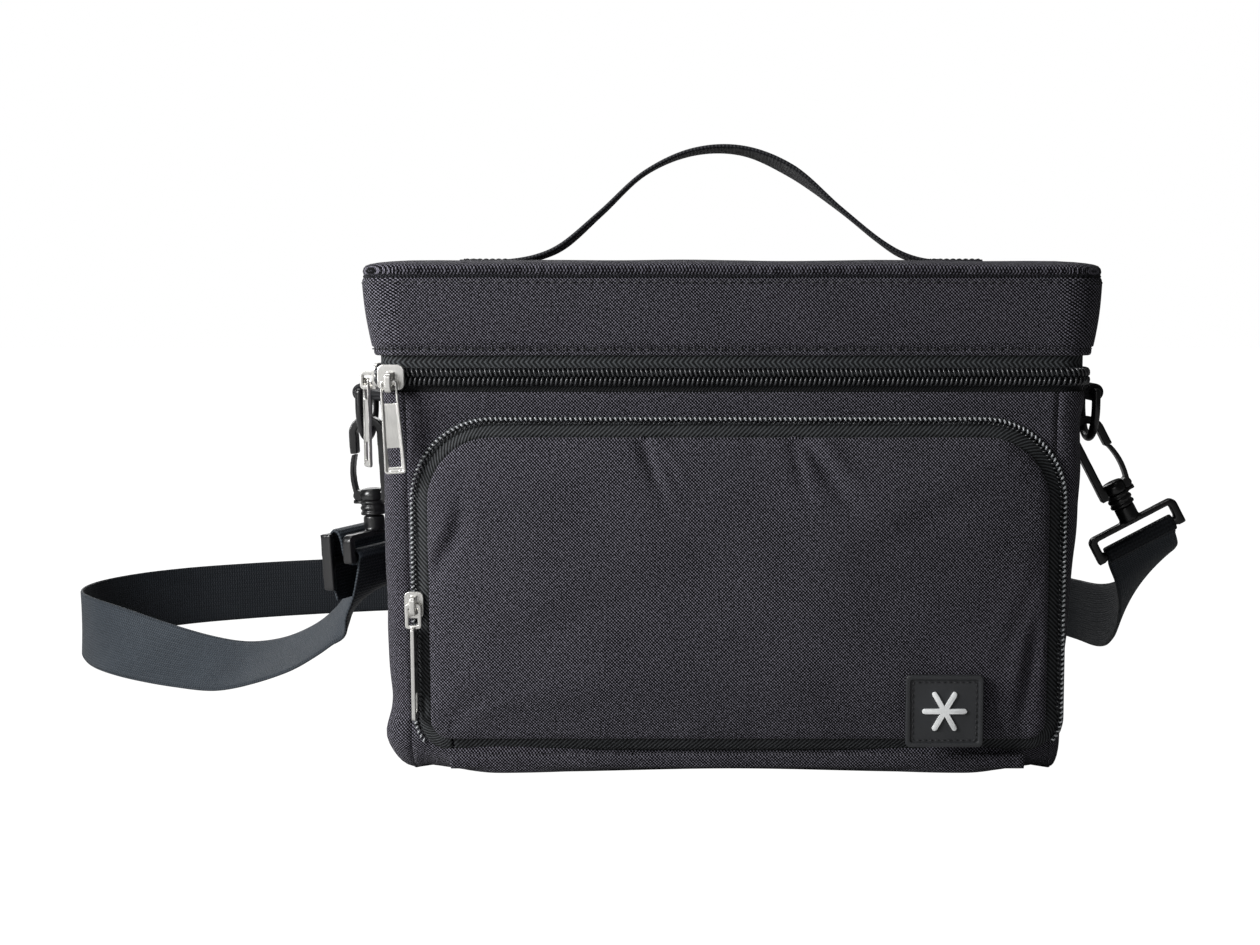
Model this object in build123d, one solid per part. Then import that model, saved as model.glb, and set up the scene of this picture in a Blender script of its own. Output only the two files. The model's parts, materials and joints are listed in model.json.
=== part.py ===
from build123d import *
import math
import os

# Insulated cooler bag, millimetres.
# Origin at the middle of the base, front towards -Y, +X to the right, +Z up.

# ---- driving dimensions --------------------------------------------------------------------------
HALF_W = 131.0            # body outside, half width
HALF_D = 82.5             # body outside, half depth
CORNER_R = 10.0           # vertical corners of the body
FABRIC = 1.0              # outer fabric
FOAM = 5.0                # insulation slabs
LINER = 0.6               # liner film
GAP = 0.2                 # air between nested layers
SEAM_X = 121.0            # the panels are joined here, at the start of the corner rounds

ZIP_Z = 150.0             # level where the two rows of the main zip meet
PART_LINE = 0.15          # half of the gap between the two rows
TAPE = 0.8                # zip tape thickness
CHAIN_H = 3.05            # height of one row of coil
CHAIN_OUT = 3.5           # how far the coil stands out from the body
PANEL_TOP = 145.3         # upper edge of the body's outer fabric
FOAM_LOW = 15.0           # the wall foam starts above the rounded bottom edge
FOAM_SPAN_X = 102.0       # the wall foam stops short of the corners
FOAM_SPAN_Y = 50.0
BOARD = 2.0               # stiffening board in the base
BOARD_INSET = 15.0        # the base board and foam stop short of the rounded bottom edge
BASE_FOAM_INSET = 11.0
BASE_R = 24.0             # corners of the base board and foam
BODY_FOAM_TOP = 146.8     # upper edge of the body's foam
TAPE_TUCK = 5.8           # the lower tape runs this far down behind the body fabric
LID_TUCK = 2.0            # and the upper tape this far up behind the lid band
STOP_LENGTH = 2.5         # end stop of the main zip
ZIP_BACK_Y = 66.0         # both ends of the zip, near the rear corners

LID_LOW = 157.7           # lower edge of the lid band
LID_SEAM = 186.5          # seam between the lid band and the top panel
BAND_LOW_OUT = 3.0        # the band's stand-out from the body line, lower edge
BAND_TOP_OUT = 6.8        # the same at the seam
DOME_RISE = 7.5           # crown of the lid's top panel above the seam
HINGE_Y = HALF_D + TAPE + 0.2

PLATE = 1.5               # zip slider plate
SLIDER_W = 10.0
SLIDER_LOW = 145.2
SLIDER_HIGH = 154.6
PULL_OUT = 9.0            # pull pivot's stand-out from the body
PULL_Z = 148.0
PULL_W = 8.0
PULL_LEN = 33.4
PULL_TAPER = 0.9          # each side of the pull comes in by this at its upper end
PULL_RIM = 0.9            # raised rim round the pull
PULL_SUNK = 0.3           # depth of the field inside the rim
SLIDER_ROUND = 2.4        # corner rounds of the slider plate
FRONT_SLIDER_X = -125.5
SIDE_SLIDER_Y = -62.5

POCKET_CX = 2.4           # middle of the pocket
POCKET_W = 242.0          # outline of the pocket's zip line
POCKET_LOW = 8.6
POCKET_TOP = 133.5
POCKET_R = 30.0
POCKET_R_LOW = 13.0
POCKET_EDGE = 5.7         # zip line to the panel's edge
POCKET_GUSSET = 5.5       # depth of the gusset
POCKET_BULGE = 12.0       # the panel's crown in front of the body
POCKET_SLIDER_Z = 65.0

RING_C = 136.0            # height of the D-ring arc's centre, and of the strap's swing axis
RING_R = 14.3
RING_WIRE = 1.8
COLLAR_R = 4.6            # ribbed collar where the hook meets its swivel
GATE_T = 1.7              # sprung gate, a thin bowed band
GATE_W = 5.4
RING_LEG = 5.0
LEFT_RING_X = -154.0
RIGHT_RING_X = 150.5
LEFT_SLANT = -3.0         # degrees that each hook leans away from the bag
RIGHT_SLANT = 28.0
HOOK_TO_RING = 31.0       # swivel to the ring's wire, along the hook

WEB_W = 32.0              # shoulder webbing
WEB_T = 1.5
GRIP_W = 25.0             # handle webbing
GRIP_T = 1.6

PARTS = {}


# ---- helpers -------------------------------------------------------------------------------------
def block(out, low, high, half_w=HALF_W, half_d=HALF_D, radius=CORNER_R):
    """Upright prism with the body's rounded outline, moved outwards by out."""
    outline = RectangleRounded(2 * (half_w + out), 2 * (half_d + out), max(radius + out, 1.5))
    return extrude(Plane.XY.offset(low) * outline, amount=high - low)


def wall(out, inner, low, high):
    """Upright ring between two offsets of the body's outline."""
    return block(out, low, high) - block(inner, low - 1, high + 1)


def slab(inset, low, high):
    """Flat slab with wide corner rounds, inside the body's outline."""
    outline = RectangleRounded(2 * (HALF_W - inset), 2 * (HALF_D - inset), BASE_R)
    return extrude(Plane.XY.offset(low) * outline, amount=high - low)


def flared(low_out, high_out, low, high):
    """Prism that widens from low to high."""
    sections = []
    for level, out in ((low, low_out), (high, high_out)):
        outline = RectangleRounded(2 * (HALF_W + out), 2 * (HALF_D + out), CORNER_R + out)
        sections.append(Plane.XY.offset(level) * outline)
    return loft(sections, ruled=True)


def cuboid(x0, x1, y0, y1, z0, z1):
    """Box given by its limits."""
    return Pos((x0 + x1) / 2, (y0 + y1) / 2, (z0 + z1) / 2) * Box(x1 - x0, y1 - y0, z1 - z0)


def rod(start, end, radius):
    """Round bar between two points."""
    direction = Vector(*end) - Vector(*start)
    plane = Plane(origin=start, z_dir=tuple(direction.normalized()))
    return extrude(plane * Circle(radius), amount=direction.length)


BIG = 400.0
MIDDLE = cuboid(-SEAM_X, SEAM_X, -BIG, BIG, -BIG, BIG)
FRONT_HALF = cuboid(-BIG, BIG, -BIG, 0, -BIG, BIG)
BACK_HALF = cuboid(-BIG, BIG, 0, BIG, -BIG, BIG)
LEFT_HALF = cuboid(-BIG, 0, -BIG, BIG, -BIG, BIG)
RIGHT_HALF = cuboid(0, BIG, -BIG, BIG, -BIG, BIG)
ZIP_STRETCH = cuboid(-BIG, BIG, -BIG, ZIP_BACK_Y, -BIG, BIG)


def outer_panels(ring):
    """Cuts the outer fabric into front, back, left and right panels at the corner seams."""
    PARTS["front_panel"] = ring & MIDDLE & FRONT_HALF
    PARTS["back_panel"] = ring & MIDDLE & BACK_HALF
    PARTS["left_panel"] = (ring - MIDDLE) & LEFT_HALF
    PARTS["right_panel"] = (ring - MIDDLE) & RIGHT_HALF


def foam_slabs(ring):
    """Four separate foam slabs that stop short of the soft corners."""
    wide = cuboid(-FOAM_SPAN_X, FOAM_SPAN_X, -BIG, BIG, -BIG, BIG)
    deep = cuboid(-BIG, BIG, -FOAM_SPAN_Y, FOAM_SPAN_Y, -BIG, BIG)
    PARTS["front_foam"] = ring & wide & FRONT_HALF
    PARTS["back_foam"] = ring & wide & BACK_HALF
    PARTS["left_foam"] = ring & deep & LEFT_HALF
    PARTS["right_foam"] = ring & deep & RIGHT_HALF


# ---- body: outer fabric, foam, liner, board, rim -------------------------------------------------
def make_body():
    inner = FABRIC + GAP
    foam_in = inner + FOAM
    board_low = FABRIC + GAP
    base_foam_low = board_low + BOARD + GAP
    base_foam_top = base_foam_low + FOAM
    outer_panels(wall(0, -FABRIC, 0, PANEL_TOP))
    foam_slabs(wall(-inner, -foam_in, FOAM_LOW, BODY_FOAM_TOP))
    PARTS["base_panel"] = block(-FABRIC, 0, FABRIC)
    PARTS["base_board"] = slab(BOARD_INSET, board_low, board_low + BOARD)
    PARTS["base_foam"] = slab(BASE_FOAM_INSET, base_foam_low, base_foam_top)
    liner_out = -(foam_in + GAP)
    liner_low = base_foam_top + GAP
    liner = block(liner_out, liner_low, BODY_FOAM_TOP)
    PARTS["liner_tub"] = liner - block(liner_out - LINER, liner_low + LINER, BODY_FOAM_TOP + 1)
    rim_in = liner_out - LINER - FABRIC
    rim = wall(-0.1, rim_in, BODY_FOAM_TOP, ZIP_Z - 0.4)
    PARTS["rim_binding"] = rim + wall(liner_out - LINER, rim_in, BODY_FOAM_TOP - 8, BODY_FOAM_TOP + 1)
    PARTS["hinge_strip"] = cuboid(-SEAM_X, SEAM_X, HALF_D, HALF_D + TAPE, 135, ZIP_Z - 0.3)


# ---- lid -----------------------------------------------------------------------------------------
def make_lid():
    inner = FABRIC + GAP
    foam_in = inner + FOAM
    shell = flared(BAND_LOW_OUT, BAND_TOP_OUT, LID_LOW, LID_SEAM)
    shell -= flared(BAND_LOW_OUT - FABRIC, BAND_TOP_OUT - FABRIC, LID_LOW, LID_SEAM)
    PARTS["lid_band"] = shell + wall(BAND_LOW_OUT - 0.5, TAPE, LID_LOW, LID_LOW + FABRIC)
    PARTS["lid_seam_piping"] = wall(BAND_TOP_OUT + 0.4, BAND_TOP_OUT - 2.4, LID_SEAM, LID_SEAM + 1.6)
    dome_low = LID_SEAM + 1.6
    crown = loft([Plane.XY.offset(dome_low) * RectangleRounded(2 * (HALF_W + 6), 2 * (HALF_D + 6), 16),
                  Plane.XY.offset(dome_low + 3.5)
                  * RectangleRounded(2 * (HALF_W + 3), 2 * (HALF_D + 3), 14),
                  Plane.XY.offset(LID_SEAM + DOME_RISE)
                  * RectangleRounded(2 * HALF_W - 50, 2 * HALF_D - 50, 20)],
                 ruled=True)
    hollow = Pos(0, 0, -FABRIC) * crown
    PARTS["lid_top_panel"] = crown - hollow
    foam_top = LID_SEAM - 0.5
    slab_low = foam_top - FOAM
    ring_low = ZIP_Z + 2.7
    PARTS["lid_side_foam"] = wall(-inner, -foam_in, ring_low, slab_low - GAP)
    PARTS["lid_top_foam"] = block(-inner, slab_low, foam_top)
    liner_out = -(foam_in + GAP)
    cup = block(liner_out, ring_low, slab_low - GAP)
    PARTS["lid_liner"] = cup - block(liner_out - LINER, ring_low - 1, slab_low - GAP - LINER)
    rim_in = liner_out - LINER - FABRIC
    rim = wall(-0.1, rim_in, ZIP_Z + 0.4, ring_low)
    PARTS["lid_rim_binding"] = rim + wall(liner_out - LINER, rim_in, ring_low - 1, ring_low + 7)
    strip = cuboid(-SEAM_X, SEAM_X, HALF_D, HALF_D + TAPE, ZIP_Z + 0.3, LID_LOW + 2)
    PARTS["lid_hinge_strip"] = strip


# ---- main zip ------------------------------------------------------------------------------------
def make_main_zip():
    lower_tape = wall(TAPE, 0, PANEL_TOP - TAPE_TUCK, ZIP_Z - PART_LINE)
    PARTS["lower_zip_tape"] = lower_tape & ZIP_STRETCH
    lower = wall(CHAIN_OUT, TAPE, ZIP_Z - PART_LINE - CHAIN_H, ZIP_Z - PART_LINE)
    PARTS["lower_zip_coil"] = lower & ZIP_STRETCH
    upper_tape = wall(TAPE, 0, ZIP_Z + PART_LINE, LID_LOW + LID_TUCK)
    PARTS["upper_zip_tape"] = upper_tape & ZIP_STRETCH
    upper = wall(CHAIN_OUT, TAPE, ZIP_Z + PART_LINE, ZIP_Z + PART_LINE + CHAIN_H)
    PARTS["upper_zip_coil"] = upper & ZIP_STRETCH
    stops = []
    for side in (-1, 1):
        near, far = side * HALF_W, side * (HALF_W + CHAIN_OUT)
        stop_low = ZIP_Z - PART_LINE - CHAIN_H
        stops.append(cuboid(min(near, far), max(near, far), ZIP_BACK_Y, ZIP_BACK_Y + STOP_LENGTH,
                            stop_low, ZIP_Z - PART_LINE))
    PARTS["zip_end_stops"] = Compound(stops)


def slider(clear_low):
    """Zip slider seen from the front in the XZ plane, its plate standing out towards -Y from y = 0."""
    half = SLIDER_W / 2
    back = -(CHAIN_OUT + 0.2)
    plate = cuboid(-half, half, back - PLATE, back, SLIDER_LOW, SLIDER_HIGH)
    plate = fillet(plate.edges().filter_by(Axis.Y), SLIDER_ROUND)
    flange = cuboid(-half + 1, half - 1, back, -(TAPE + 0.25), SLIDER_LOW, clear_low - 0.2)
    outer = cuboid(-1.2, 1.2, -(PULL_OUT + 2.4), back - PLATE + 0.2, PULL_Z - 3.6, PULL_Z + 3.6)
    outer = fillet(outer.edges().filter_by(Axis.X).group_by(Axis.Y)[0], 1.6)
    eye = cuboid(-2, 2, -(PULL_OUT + 1.2), -(PULL_OUT - 2.2), PULL_Z - 1.9, PULL_Z + 1.9)
    return plate + flange + (outer - eye)


def pull():
    """Flat pull with an eye at each end, hanging from its cross bar; same pose as the slider."""
    half = PULL_W / 2
    thick = 1.3
    top = PULL_Z + 0.9
    low = PULL_Z - PULL_LEN
    narrow = half - PULL_TAPER
    shape = make_face(Polyline((-half, low), (half, low), (narrow, top), (-narrow, top), close=True))
    body = extrude(Plane.XZ.offset(PULL_OUT - thick / 2) * shape, amount=thick)
    body = fillet(body.edges().filter_by(Axis.Y), 1.2)
    recess = offset(shape, -PULL_RIM)
    body -= extrude(Plane.XZ.offset(PULL_OUT + thick / 2 - PULL_SUNK) * recess, amount=1)
    eye = cuboid(-2.3, 2.3, -(PULL_OUT + 2), -(PULL_OUT - 2), PULL_Z - 7.5, PULL_Z - 0.9)
    low_eye = cuboid(-2.3, 2.3, -(PULL_OUT + 2), -(PULL_OUT - 2), PULL_Z - PULL_LEN + 2.5,
                     PULL_Z - PULL_LEN + 9.5)
    return body - eye - low_eye


def make_main_sliders():
    chain_low = ZIP_Z - PART_LINE - CHAIN_H
    front = Pos(FRONT_SLIDER_X, -HALF_D, 0)
    side = Pos(-HALF_W, SIDE_SLIDER_Y, 0) * Rot(0, 0, -90)
    PARTS["front_slider"] = front * slider(chain_low)
    PARTS["front_slider_pull"] = front * pull()
    PARTS["side_slider"] = side * slider(chain_low)
    PARTS["side_slider_pull"] = side * pull()


# ---- carry handle --------------------------------------------------------------------------------
LID_CROWN = LID_SEAM + DOME_RISE
GRIP_PIVOT = LID_CROWN + 0.9
GRIP_CUT_R = 23.7         # the arch swings freely outside this radius round its pivot line
GRIP_ARCH = [(-91.0, GRIP_PIVOT), (-71.0, 201.5), (-54.5, 215.5), (-36.0, 232.0), (-16.0, 240.5),
             (4.0, 241.0), (24.0, 233.0), (45.0, 217.0), (62.0, 203.5), (80.0, GRIP_PIVOT)]


def make_handle():
    line = Spline(*[(x, 0, z) for x, z in GRIP_ARCH], tangents=[(1, 0, 0.15), (1, 0, -0.15)])
    face = make_face(Polyline(*[(p.X, p.Z) for p in outline_of(line, GRIP_T)], close=True))
    arch = extrude(Plane.XZ.offset(-GRIP_W / 2) * face, amount=GRIP_W)
    pivot_line = Pos(0, 0, GRIP_PIVOT) * Rot(0, 90, 0)
    upper_side = cuboid(-BIG, BIG, -BIG, BIG, LID_CROWN, BIG)
    PARTS["carry_handle"] = (arch - pivot_line * Cylinder(GRIP_CUT_R, BIG)) & upper_side
    low = arch & upper_side & (pivot_line * Cylinder(GRIP_CUT_R - 0.3, BIG))
    sewn_left = cuboid(-112.0, -90.0, -GRIP_W / 2, GRIP_W / 2, LID_CROWN, LID_CROWN + GRIP_T)
    sewn_right = cuboid(79.0, 103.0, -GRIP_W / 2, GRIP_W / 2, LID_CROWN, LID_CROWN + GRIP_T)
    PARTS["handle_end_left"] = (low & LEFT_HALF) + sewn_left
    PARTS["handle_end_right"] = (low & RIGHT_HALF) + sewn_right


def outline_of(line, thickness, steps=36):
    """Points down one side of a curve in the XZ plane and back up the other."""
    upper = []
    lower = []
    for i in range(steps + 1):
        here = line @ (i / steps)
        along = line % (i / steps)
        normal = Vector(-along.Z, 0, along.X).normalized() * (thickness / 2)
        upper.append(here + normal)
        lower.append(here - normal)
    return upper + lower[::-1]


# ---- front pocket --------------------------------------------------------------------------------
def pocket_face(inset):
    """The pocket's outline, moved inwards by inset."""
    x0 = POCKET_CX - POCKET_W / 2 + inset
    x1 = POCKET_CX + POCKET_W / 2 - inset
    z0 = POCKET_LOW + max(inset, 0)
    z1 = POCKET_TOP - inset
    face = make_face(Polyline((x0, z0), (x1, z0), (x1, z1), (x0, z1), close=True))
    corners = face.vertices().sort_by(Axis.Y)
    face = fillet(corners[2:], max(POCKET_R - inset, 3))
    corners = face.vertices().group_by(Axis.Y)[0]
    outer = corners.sort_by(Axis.X)
    return fillet([outer[0], outer[-1]], max(POCKET_R_LOW - inset, 3))


def pocket_slab(inset, low, high):
    """Pocket outline as a slab, from low to high in front of the body."""
    return extrude(Plane.XZ.offset(HALF_D + low) * pocket_face(inset), amount=high - low)


def pocket_crown(back):
    """Solid of the bulging pocket panel, moved back by the given amount."""
    edge = Plane.XZ.offset(HALF_D + POCKET_GUSSET - back) * pocket_face(POCKET_EDGE + back)
    middle = Plane.XZ.offset(HALF_D + POCKET_BULGE - back)
    flat = Pos(POCKET_CX, 47.5) * RectangleRounded(190 - 2 * back, 71 - 2 * back, 12)
    return loft([edge, middle * flat], ruled=True)


def make_pocket():
    above = cuboid(-BIG, BIG, -BIG, BIG, POCKET_LOW + 4, BIG)
    outer_tape = pocket_slab(-5, 0, 0.6) - pocket_slab(0, -1, 2)
    PARTS["pocket_outer_tape"] = outer_tape & above
    outer_coil = pocket_slab(-1.9, 0.6, 2.8) - pocket_slab(-0.15, 0, 4)
    PARTS["pocket_outer_coil"] = outer_coil & above
    inner_coil = pocket_slab(0.15, 0.95, 2.8) - pocket_slab(1.9, 0, 4)
    straight = cuboid(-BIG, BIG, -BIG, BIG, POCKET_LOW + POCKET_R_LOW, BIG)
    PARTS["pocket_inner_coil"] = inner_coil & straight
    tape = pocket_slab(0.5, 0.35, 0.95) - pocket_slab(4.5, 0, 4)
    gusset = pocket_slab(4.5, 0.35, POCKET_GUSSET) - pocket_slab(5.7, 0, 8)
    PARTS["pocket_gusset"] = tape + gusset
    PARTS["pocket_panel"] = pocket_crown(0) - pocket_crown(1.2)
    PARTS["pocket_hem"] = cuboid(POCKET_CX - 108, POCKET_CX + 108, -HALF_D - 0.6, -HALF_D, 2.0, 7.6)


def make_patch():
    x0, x1, z0, z1 = 64.2, 92.8, 13.4, 40.4
    back = -(HALF_D + POCKET_BULGE)
    pad = cuboid(x0, x1, back - 1.2, back, z0, z1)
    field = cuboid(x0 + 2, x1 - 2, back - 3, back, z0 + 2, z1 - 2)
    patch = pad + (cuboid(x0, x1, back - 2.0, back - 1.2, z0, z1) - field)
    PARTS["rubber_patch"] = fillet(patch.edges().filter_by(Axis.Y).group_by(SortBy.LENGTH)[-1][:4], 1.5)
    centre = Vector((x0 + x1) / 2, back - 1.2, (z0 + z1) / 2)
    arms = Box(17, 0.9, 1.9)
    star = arms + Rot(0, 60, 0) * arms + Rot(0, 120, 0) * arms
    PARTS["patch_emblem"] = Pos(centre.X, centre.Y - 0.45, centre.Z) * star


def make_pocket_slider():
    x = POCKET_CX - POCKET_W / 2
    z = POCKET_SLIDER_Z
    front = -(HALF_D + 3.0)
    plate = cuboid(x - 3.6, x + 3.4, front - 1.3, front, z - 5, z + 5)
    plate = fillet(plate.edges().filter_by(Axis.Y), 1.8)
    flange = cuboid(x + 2.1, x + 3.2, front, -(HALF_D + 1.15), z - 4, z + 4)
    arch = cuboid(x - 1.0, x + 1.0, front - 5.6, front - 1.1, z - 3.4, z + 3.4)
    arch = fillet(arch.edges().filter_by(Axis.X).group_by(Axis.Y)[0], 1.5)
    eye = cuboid(x - 2, x + 2, front - 4.6, front - 1.5, z - 2, z + 2)
    PARTS["pocket_slider"] = plate + flange + (arch - eye)
    pivot = front - 3.2
    link = cuboid(x - 3.0, x + 3.0, pivot - 0.6, pivot + 0.6, z - 8.6, z + 0.8)
    link = fillet(link.edges().filter_by(Axis.Y), 1.2)
    window = cuboid(x - 1.7, x + 1.7, pivot - 2, pivot + 2, z - 7.2, z - 0.8)
    blade = cuboid(x - 0.7, x + 0.7, pivot - 3.0, pivot + 3.0, z - 43, z - 8.0)
    blade = fillet(blade.edges().filter_by(Axis.X), 1.2)
    blade -= cuboid(x - 2, x + 2, pivot - 1.5, pivot + 1.5, z - 40.5, z - 33)
    PARTS["pocket_slider_pull"] = link - window + blade


# ---- side tabs and D-rings -----------------------------------------------------------------------
def make_ring(x):
    """D-ring in the YZ plane: round arc below, straight bar above."""
    arc = revolve(Plane(origin=(x, RING_R, RING_C), x_dir=(1, 0, 0), z_dir=(0, 0, 1)) * Circle(RING_WIRE),
                  axis=Axis((x, 0, RING_C), (1, 0, 0)), revolution_arc=-180)
    top = RING_C + RING_LEG
    ring = arc
    for y in (-RING_R, RING_R):
        ring += rod((x, y, RING_C), (x, y, top), RING_WIRE)
        ring += Pos(x, y, top) * Sphere(RING_WIRE)
    return ring + rod((x, -RING_R, top), (x, RING_R, top), RING_WIRE)


def make_tab(x):
    """Webbing tab folded over the ring's bar and sewn flat to the side panel."""
    side = math.copysign(1, x)
    top = RING_C + RING_LEG
    wide = 24.0
    panel = side * HALF_W
    wrap = Pos(x, 0, top) * Rot(90, 0, 0) * Cylinder(RING_WIRE + 1.9, wide)
    strap = make_face(Polyline((x - side * 2.4, top + 1.2), (x - side * 2.4, top - 2.4),
                               (panel + side * 2.8, 134.2), (panel, 134.2), (panel, 138.6), close=True))
    strap = extrude(Plane.XZ.offset(-wide / 2) * strap, amount=wide)
    out = panel + side * 2.8
    flat = cuboid(min(panel, out), max(panel, out), -wide / 2, wide / 2, 117, 136)
    bore = Pos(x, 0, top) * Rot(90, 0, 0) * Cylinder(RING_WIRE + 0.08, wide + 2)
    return (wrap + strap + flat) - bore


# ---- snap hooks ----------------------------------------------------------------------------------
def hook_plane(x, slant):
    """Frame of one hook: X outwards from the bag, Z along the hook to its bend, origin at the swivel."""
    side = math.copysign(1, x)
    lean = math.radians(slant) * side
    along = Vector(-math.sin(lean), 0, math.cos(lean))
    across = Vector(side * math.cos(lean), 0, side * math.sin(lean))
    ring_point = Vector(x, 0, RING_C - RING_R)
    origin = ring_point - along * HOOK_TO_RING
    return Plane(origin=origin, x_dir=across, z_dir=along)


def hook_solid():
    bend = 32.5
    outer = 7.5
    inner = 4.3
    thick = 6.0
    outline = make_face(Polyline((-outer, 3), (outer, 3), (outer, bend), (-outer, bend), close=True))
    shape = outline + Pos(0, bend) * Circle(outer)
    shape -= make_face(Polyline((-inner, 7.6), (inner, 7.6), (inner, bend), (-inner, bend), close=True))
    shape -= Pos(0, bend) * Circle(inner)
    shape -= make_face(Polyline((3.6, 7.6), (8.5, 7.6), (8.5, 24.2), (3.6, 24.2), close=True))
    shape -= Pos(5.5, 6.4) * Circle(2.4)
    shape -= make_face(Polyline((3.1, 6.4), (8.5, 6.4), (8.5, 8), (3.1, 8), close=True))
    body = extrude(Plane.XZ.offset(-thick / 2) * shape, amount=thick)
    body += Pos(0, 0, 1.0) * Cylinder(COLLAR_R, 6.0)
    for level in (-1.4, 1.0, 3.4):
        body += Pos(0, 0, level) * Cylinder(COLLAR_R + 0.7, 1.2)
    body -= Pos(0, 0, 0) * Cylinder(2.1, 30)
    body -= Pos(0, 0, 6.6) * Cylinder(3.5, 4.0)
    eye = Pos(0, bend) * (Circle(outer) - Circle(inner))
    body += extrude(Plane.XZ.offset(-thick / 2) * eye, amount=thick) & cuboid(-20, 20, -20, 20, bend, 60)
    return body


def points_along(line, thickness, steps=12):
    """Closed outline of a thin band whose outer edge is the line."""
    outer = [line @ (i / steps) for i in range(steps + 1)]
    return outer + [point - Vector(thickness, 0) for point in reversed(outer)]


def gate_solid():
    barrel = Pos(5.5, 0, 6.4) * Rot(90, 0, 0) * Cylinder(2.1, 5.4)
    outside = [(6.9, 6.4), (7.9, 11.0), (8.2, 15.5), (7.8, 20.0), (6.9, 23.8)]
    bow = Spline(*outside)
    face = make_face(Polyline(*[(p.X, p.Y) for p in points_along(bow, GATE_T)], close=True))
    finger = extrude(Plane.XZ.offset(-GATE_W / 2) * face, amount=GATE_W)
    return barrel + finger


SWIVEL_BAR = -18.2        # the bar that carries the webbing, below the swivel


def swivel_solid(turn):
    """Post that holds the hook, and the frame that the webbing passes through."""
    post = Pos(0, 0, -1.0) * Cylinder(2.02, 13.0)
    head = Pos(0, 0, 5.7) * Cylinder(3.2, 1.6)
    neck = Pos(0, 0, -5.6) * Cylinder(4.4, 6.4)
    frame = cuboid(-20.5, 20.5, -2.2, 2.2, SWIVEL_BAR - 2.0, -8.4)
    frame = fillet(frame.edges().filter_by(Axis.Y), 3.0)
    frame -= cuboid(-17.0, 17.0, -5, 5, SWIVEL_BAR - 9, -10.8)
    bar = Pos(0, 0, SWIVEL_BAR) * Rot(0, 90, 0) * Cylinder(2.0, 36.0)
    ends = cuboid(-20.5, -17.0, -2.2, 2.2, SWIVEL_BAR - 2.2, -12)
    ends += cuboid(17.0, 20.5, -2.2, 2.2, SWIVEL_BAR - 2.2, -12)
    return post + head + neck + Rot(0, 0, turn) * (frame + bar + ends)


LEFT_TURN = 67.0          # the left frame is turned so that its webbing runs nearly front to back


def make_hooks():
    sides = (("left", LEFT_RING_X, LEFT_SLANT, LEFT_TURN), ("right", RIGHT_RING_X, RIGHT_SLANT, 0))
    for name, x, slant, turn in sides:
        place = hook_plane(x, slant).location
        PARTS["snap_hook_" + name] = place * hook_solid()
        PARTS["hook_gate_" + name] = place * gate_solid()
        PARTS["swivel_frame_" + name] = place * swivel_solid(turn)
        PARTS["d_ring_" + name] = make_ring(x)
        PARTS["side_tab_" + name] = make_tab(x)


# ---- shoulder strap ------------------------------------------------------------------------------
# Each station: middle of the webbing, then the direction across its width.
STRAP_RUN = [((-163.0, 6, 50.0), (-0.30, 0.93, 0.20)),
             ((-170.0, 13, 42.5), (-0.20, 0.94, 0.28)),
             ((-180.0, 22, 33.5), (-0.05, 0.93, 0.36)),
             ((-194.0, 33, 24.0), (0.08, 0.90, 0.42)),
             ((-212.0, 45, 16.0), (0.20, 0.86, 0.47)),
             ((-232.0, 57, 11.0), (0.28, 0.79, 0.55)),
             ((-254.0, 68, 10.8), (0.36, 0.70, 0.61)),
             ((-278.0, 80, 13.0), (0.38, 0.55, 0.74)),
             ((-301.0, 96, 15.2), (0.30, 0.35, 0.89)),
             ((-321.0, 116, 16.4), (0.12, 0.10, 0.98)),
             ((-334.5, 140, 16.4), (0, 0, 1)),
             ((-337.5, 166, 16.4), (0, 0, 1)),
             ((-328.0, 192, 16.4), (0, 0, 1)),
             ((-307.0, 215, 16.4), (0, 0, 1)),
             ((-276.0, 233, 16.4), (0, 0, 1)),
             ((-241.0, 247, 16.4), (0, 0, 1)),
             ((-204.0, 258, 16.4), (0, 0, 1)),
             ((-150.0, 267, 16.4), (0, 0, 1)),
             ((-85.0, 271, 16.4), (0, 0, 1)),
             ((-20.0, 272, 16.4), (0, 0, 1)),
             ((45.0, 268, 16.4), (0, 0, 1)),
             ((98.0, 257, 16.4), (0, 0, 1)),
             ((140.0, 238, 16.4), (0, 0, 1)),
             ((169.0, 210, 16.4), (0, 0, 1)),
             ((184.0, 172, 16.8), (0.02, 0, 1)),
             ((188.0, 132, 21.0), (0.10, 0.02, 1)),
             ((188.0, 95, 31.0), (0.25, 0.05, 0.97)),
             ((186.5, 62, 44.0), (0.45, 0.02, 0.90)),
             ((184.0, 34, 56.0), (0.65, -0.05, 0.76)),
             ((180.0, 14, 66.0), (0.80, -0.08, 0.60)),
             ((175.5, 4.5, 74.0), (0.88, 0, 0.47))]
STRAP_JOIN = 18           # station where the left and right lengths of the strap meet
TAIL_RISE = [(5.6, -15.5), (6.2, -11.0), (7.8, -7.6), (10.0, -7.2), (11.5, -10.4)]
TAIL_END = [(11.5, -29.0), (11.3, -31.0), (10.9, -33.0)]
GLIDE_S = -20.0
GLIDE_M = 11.5


def strap_section(centre, along, across):
    """Webbing's cross-section at one station."""
    across = Vector(*across).normalized()
    along = Vector(*along)
    along = (along - across * along.dot(across)).normalized()
    return Plane(origin=centre, x_dir=across, z_dir=along) * Rectangle(WEB_W, WEB_T)


def ribbon(stations):
    """Webbing through a list of (middle, width direction) stations."""
    middles = [Vector(*station[0]) for station in stations]
    sections = []
    for i, (middle, across) in enumerate(stations):
        before = middles[max(i - 1, 0)]
        after = middles[min(i + 1, len(middles) - 1)]
        sections.append(strap_section(middle, after - before, across))
    return loft(sections, ruled=True)


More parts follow.
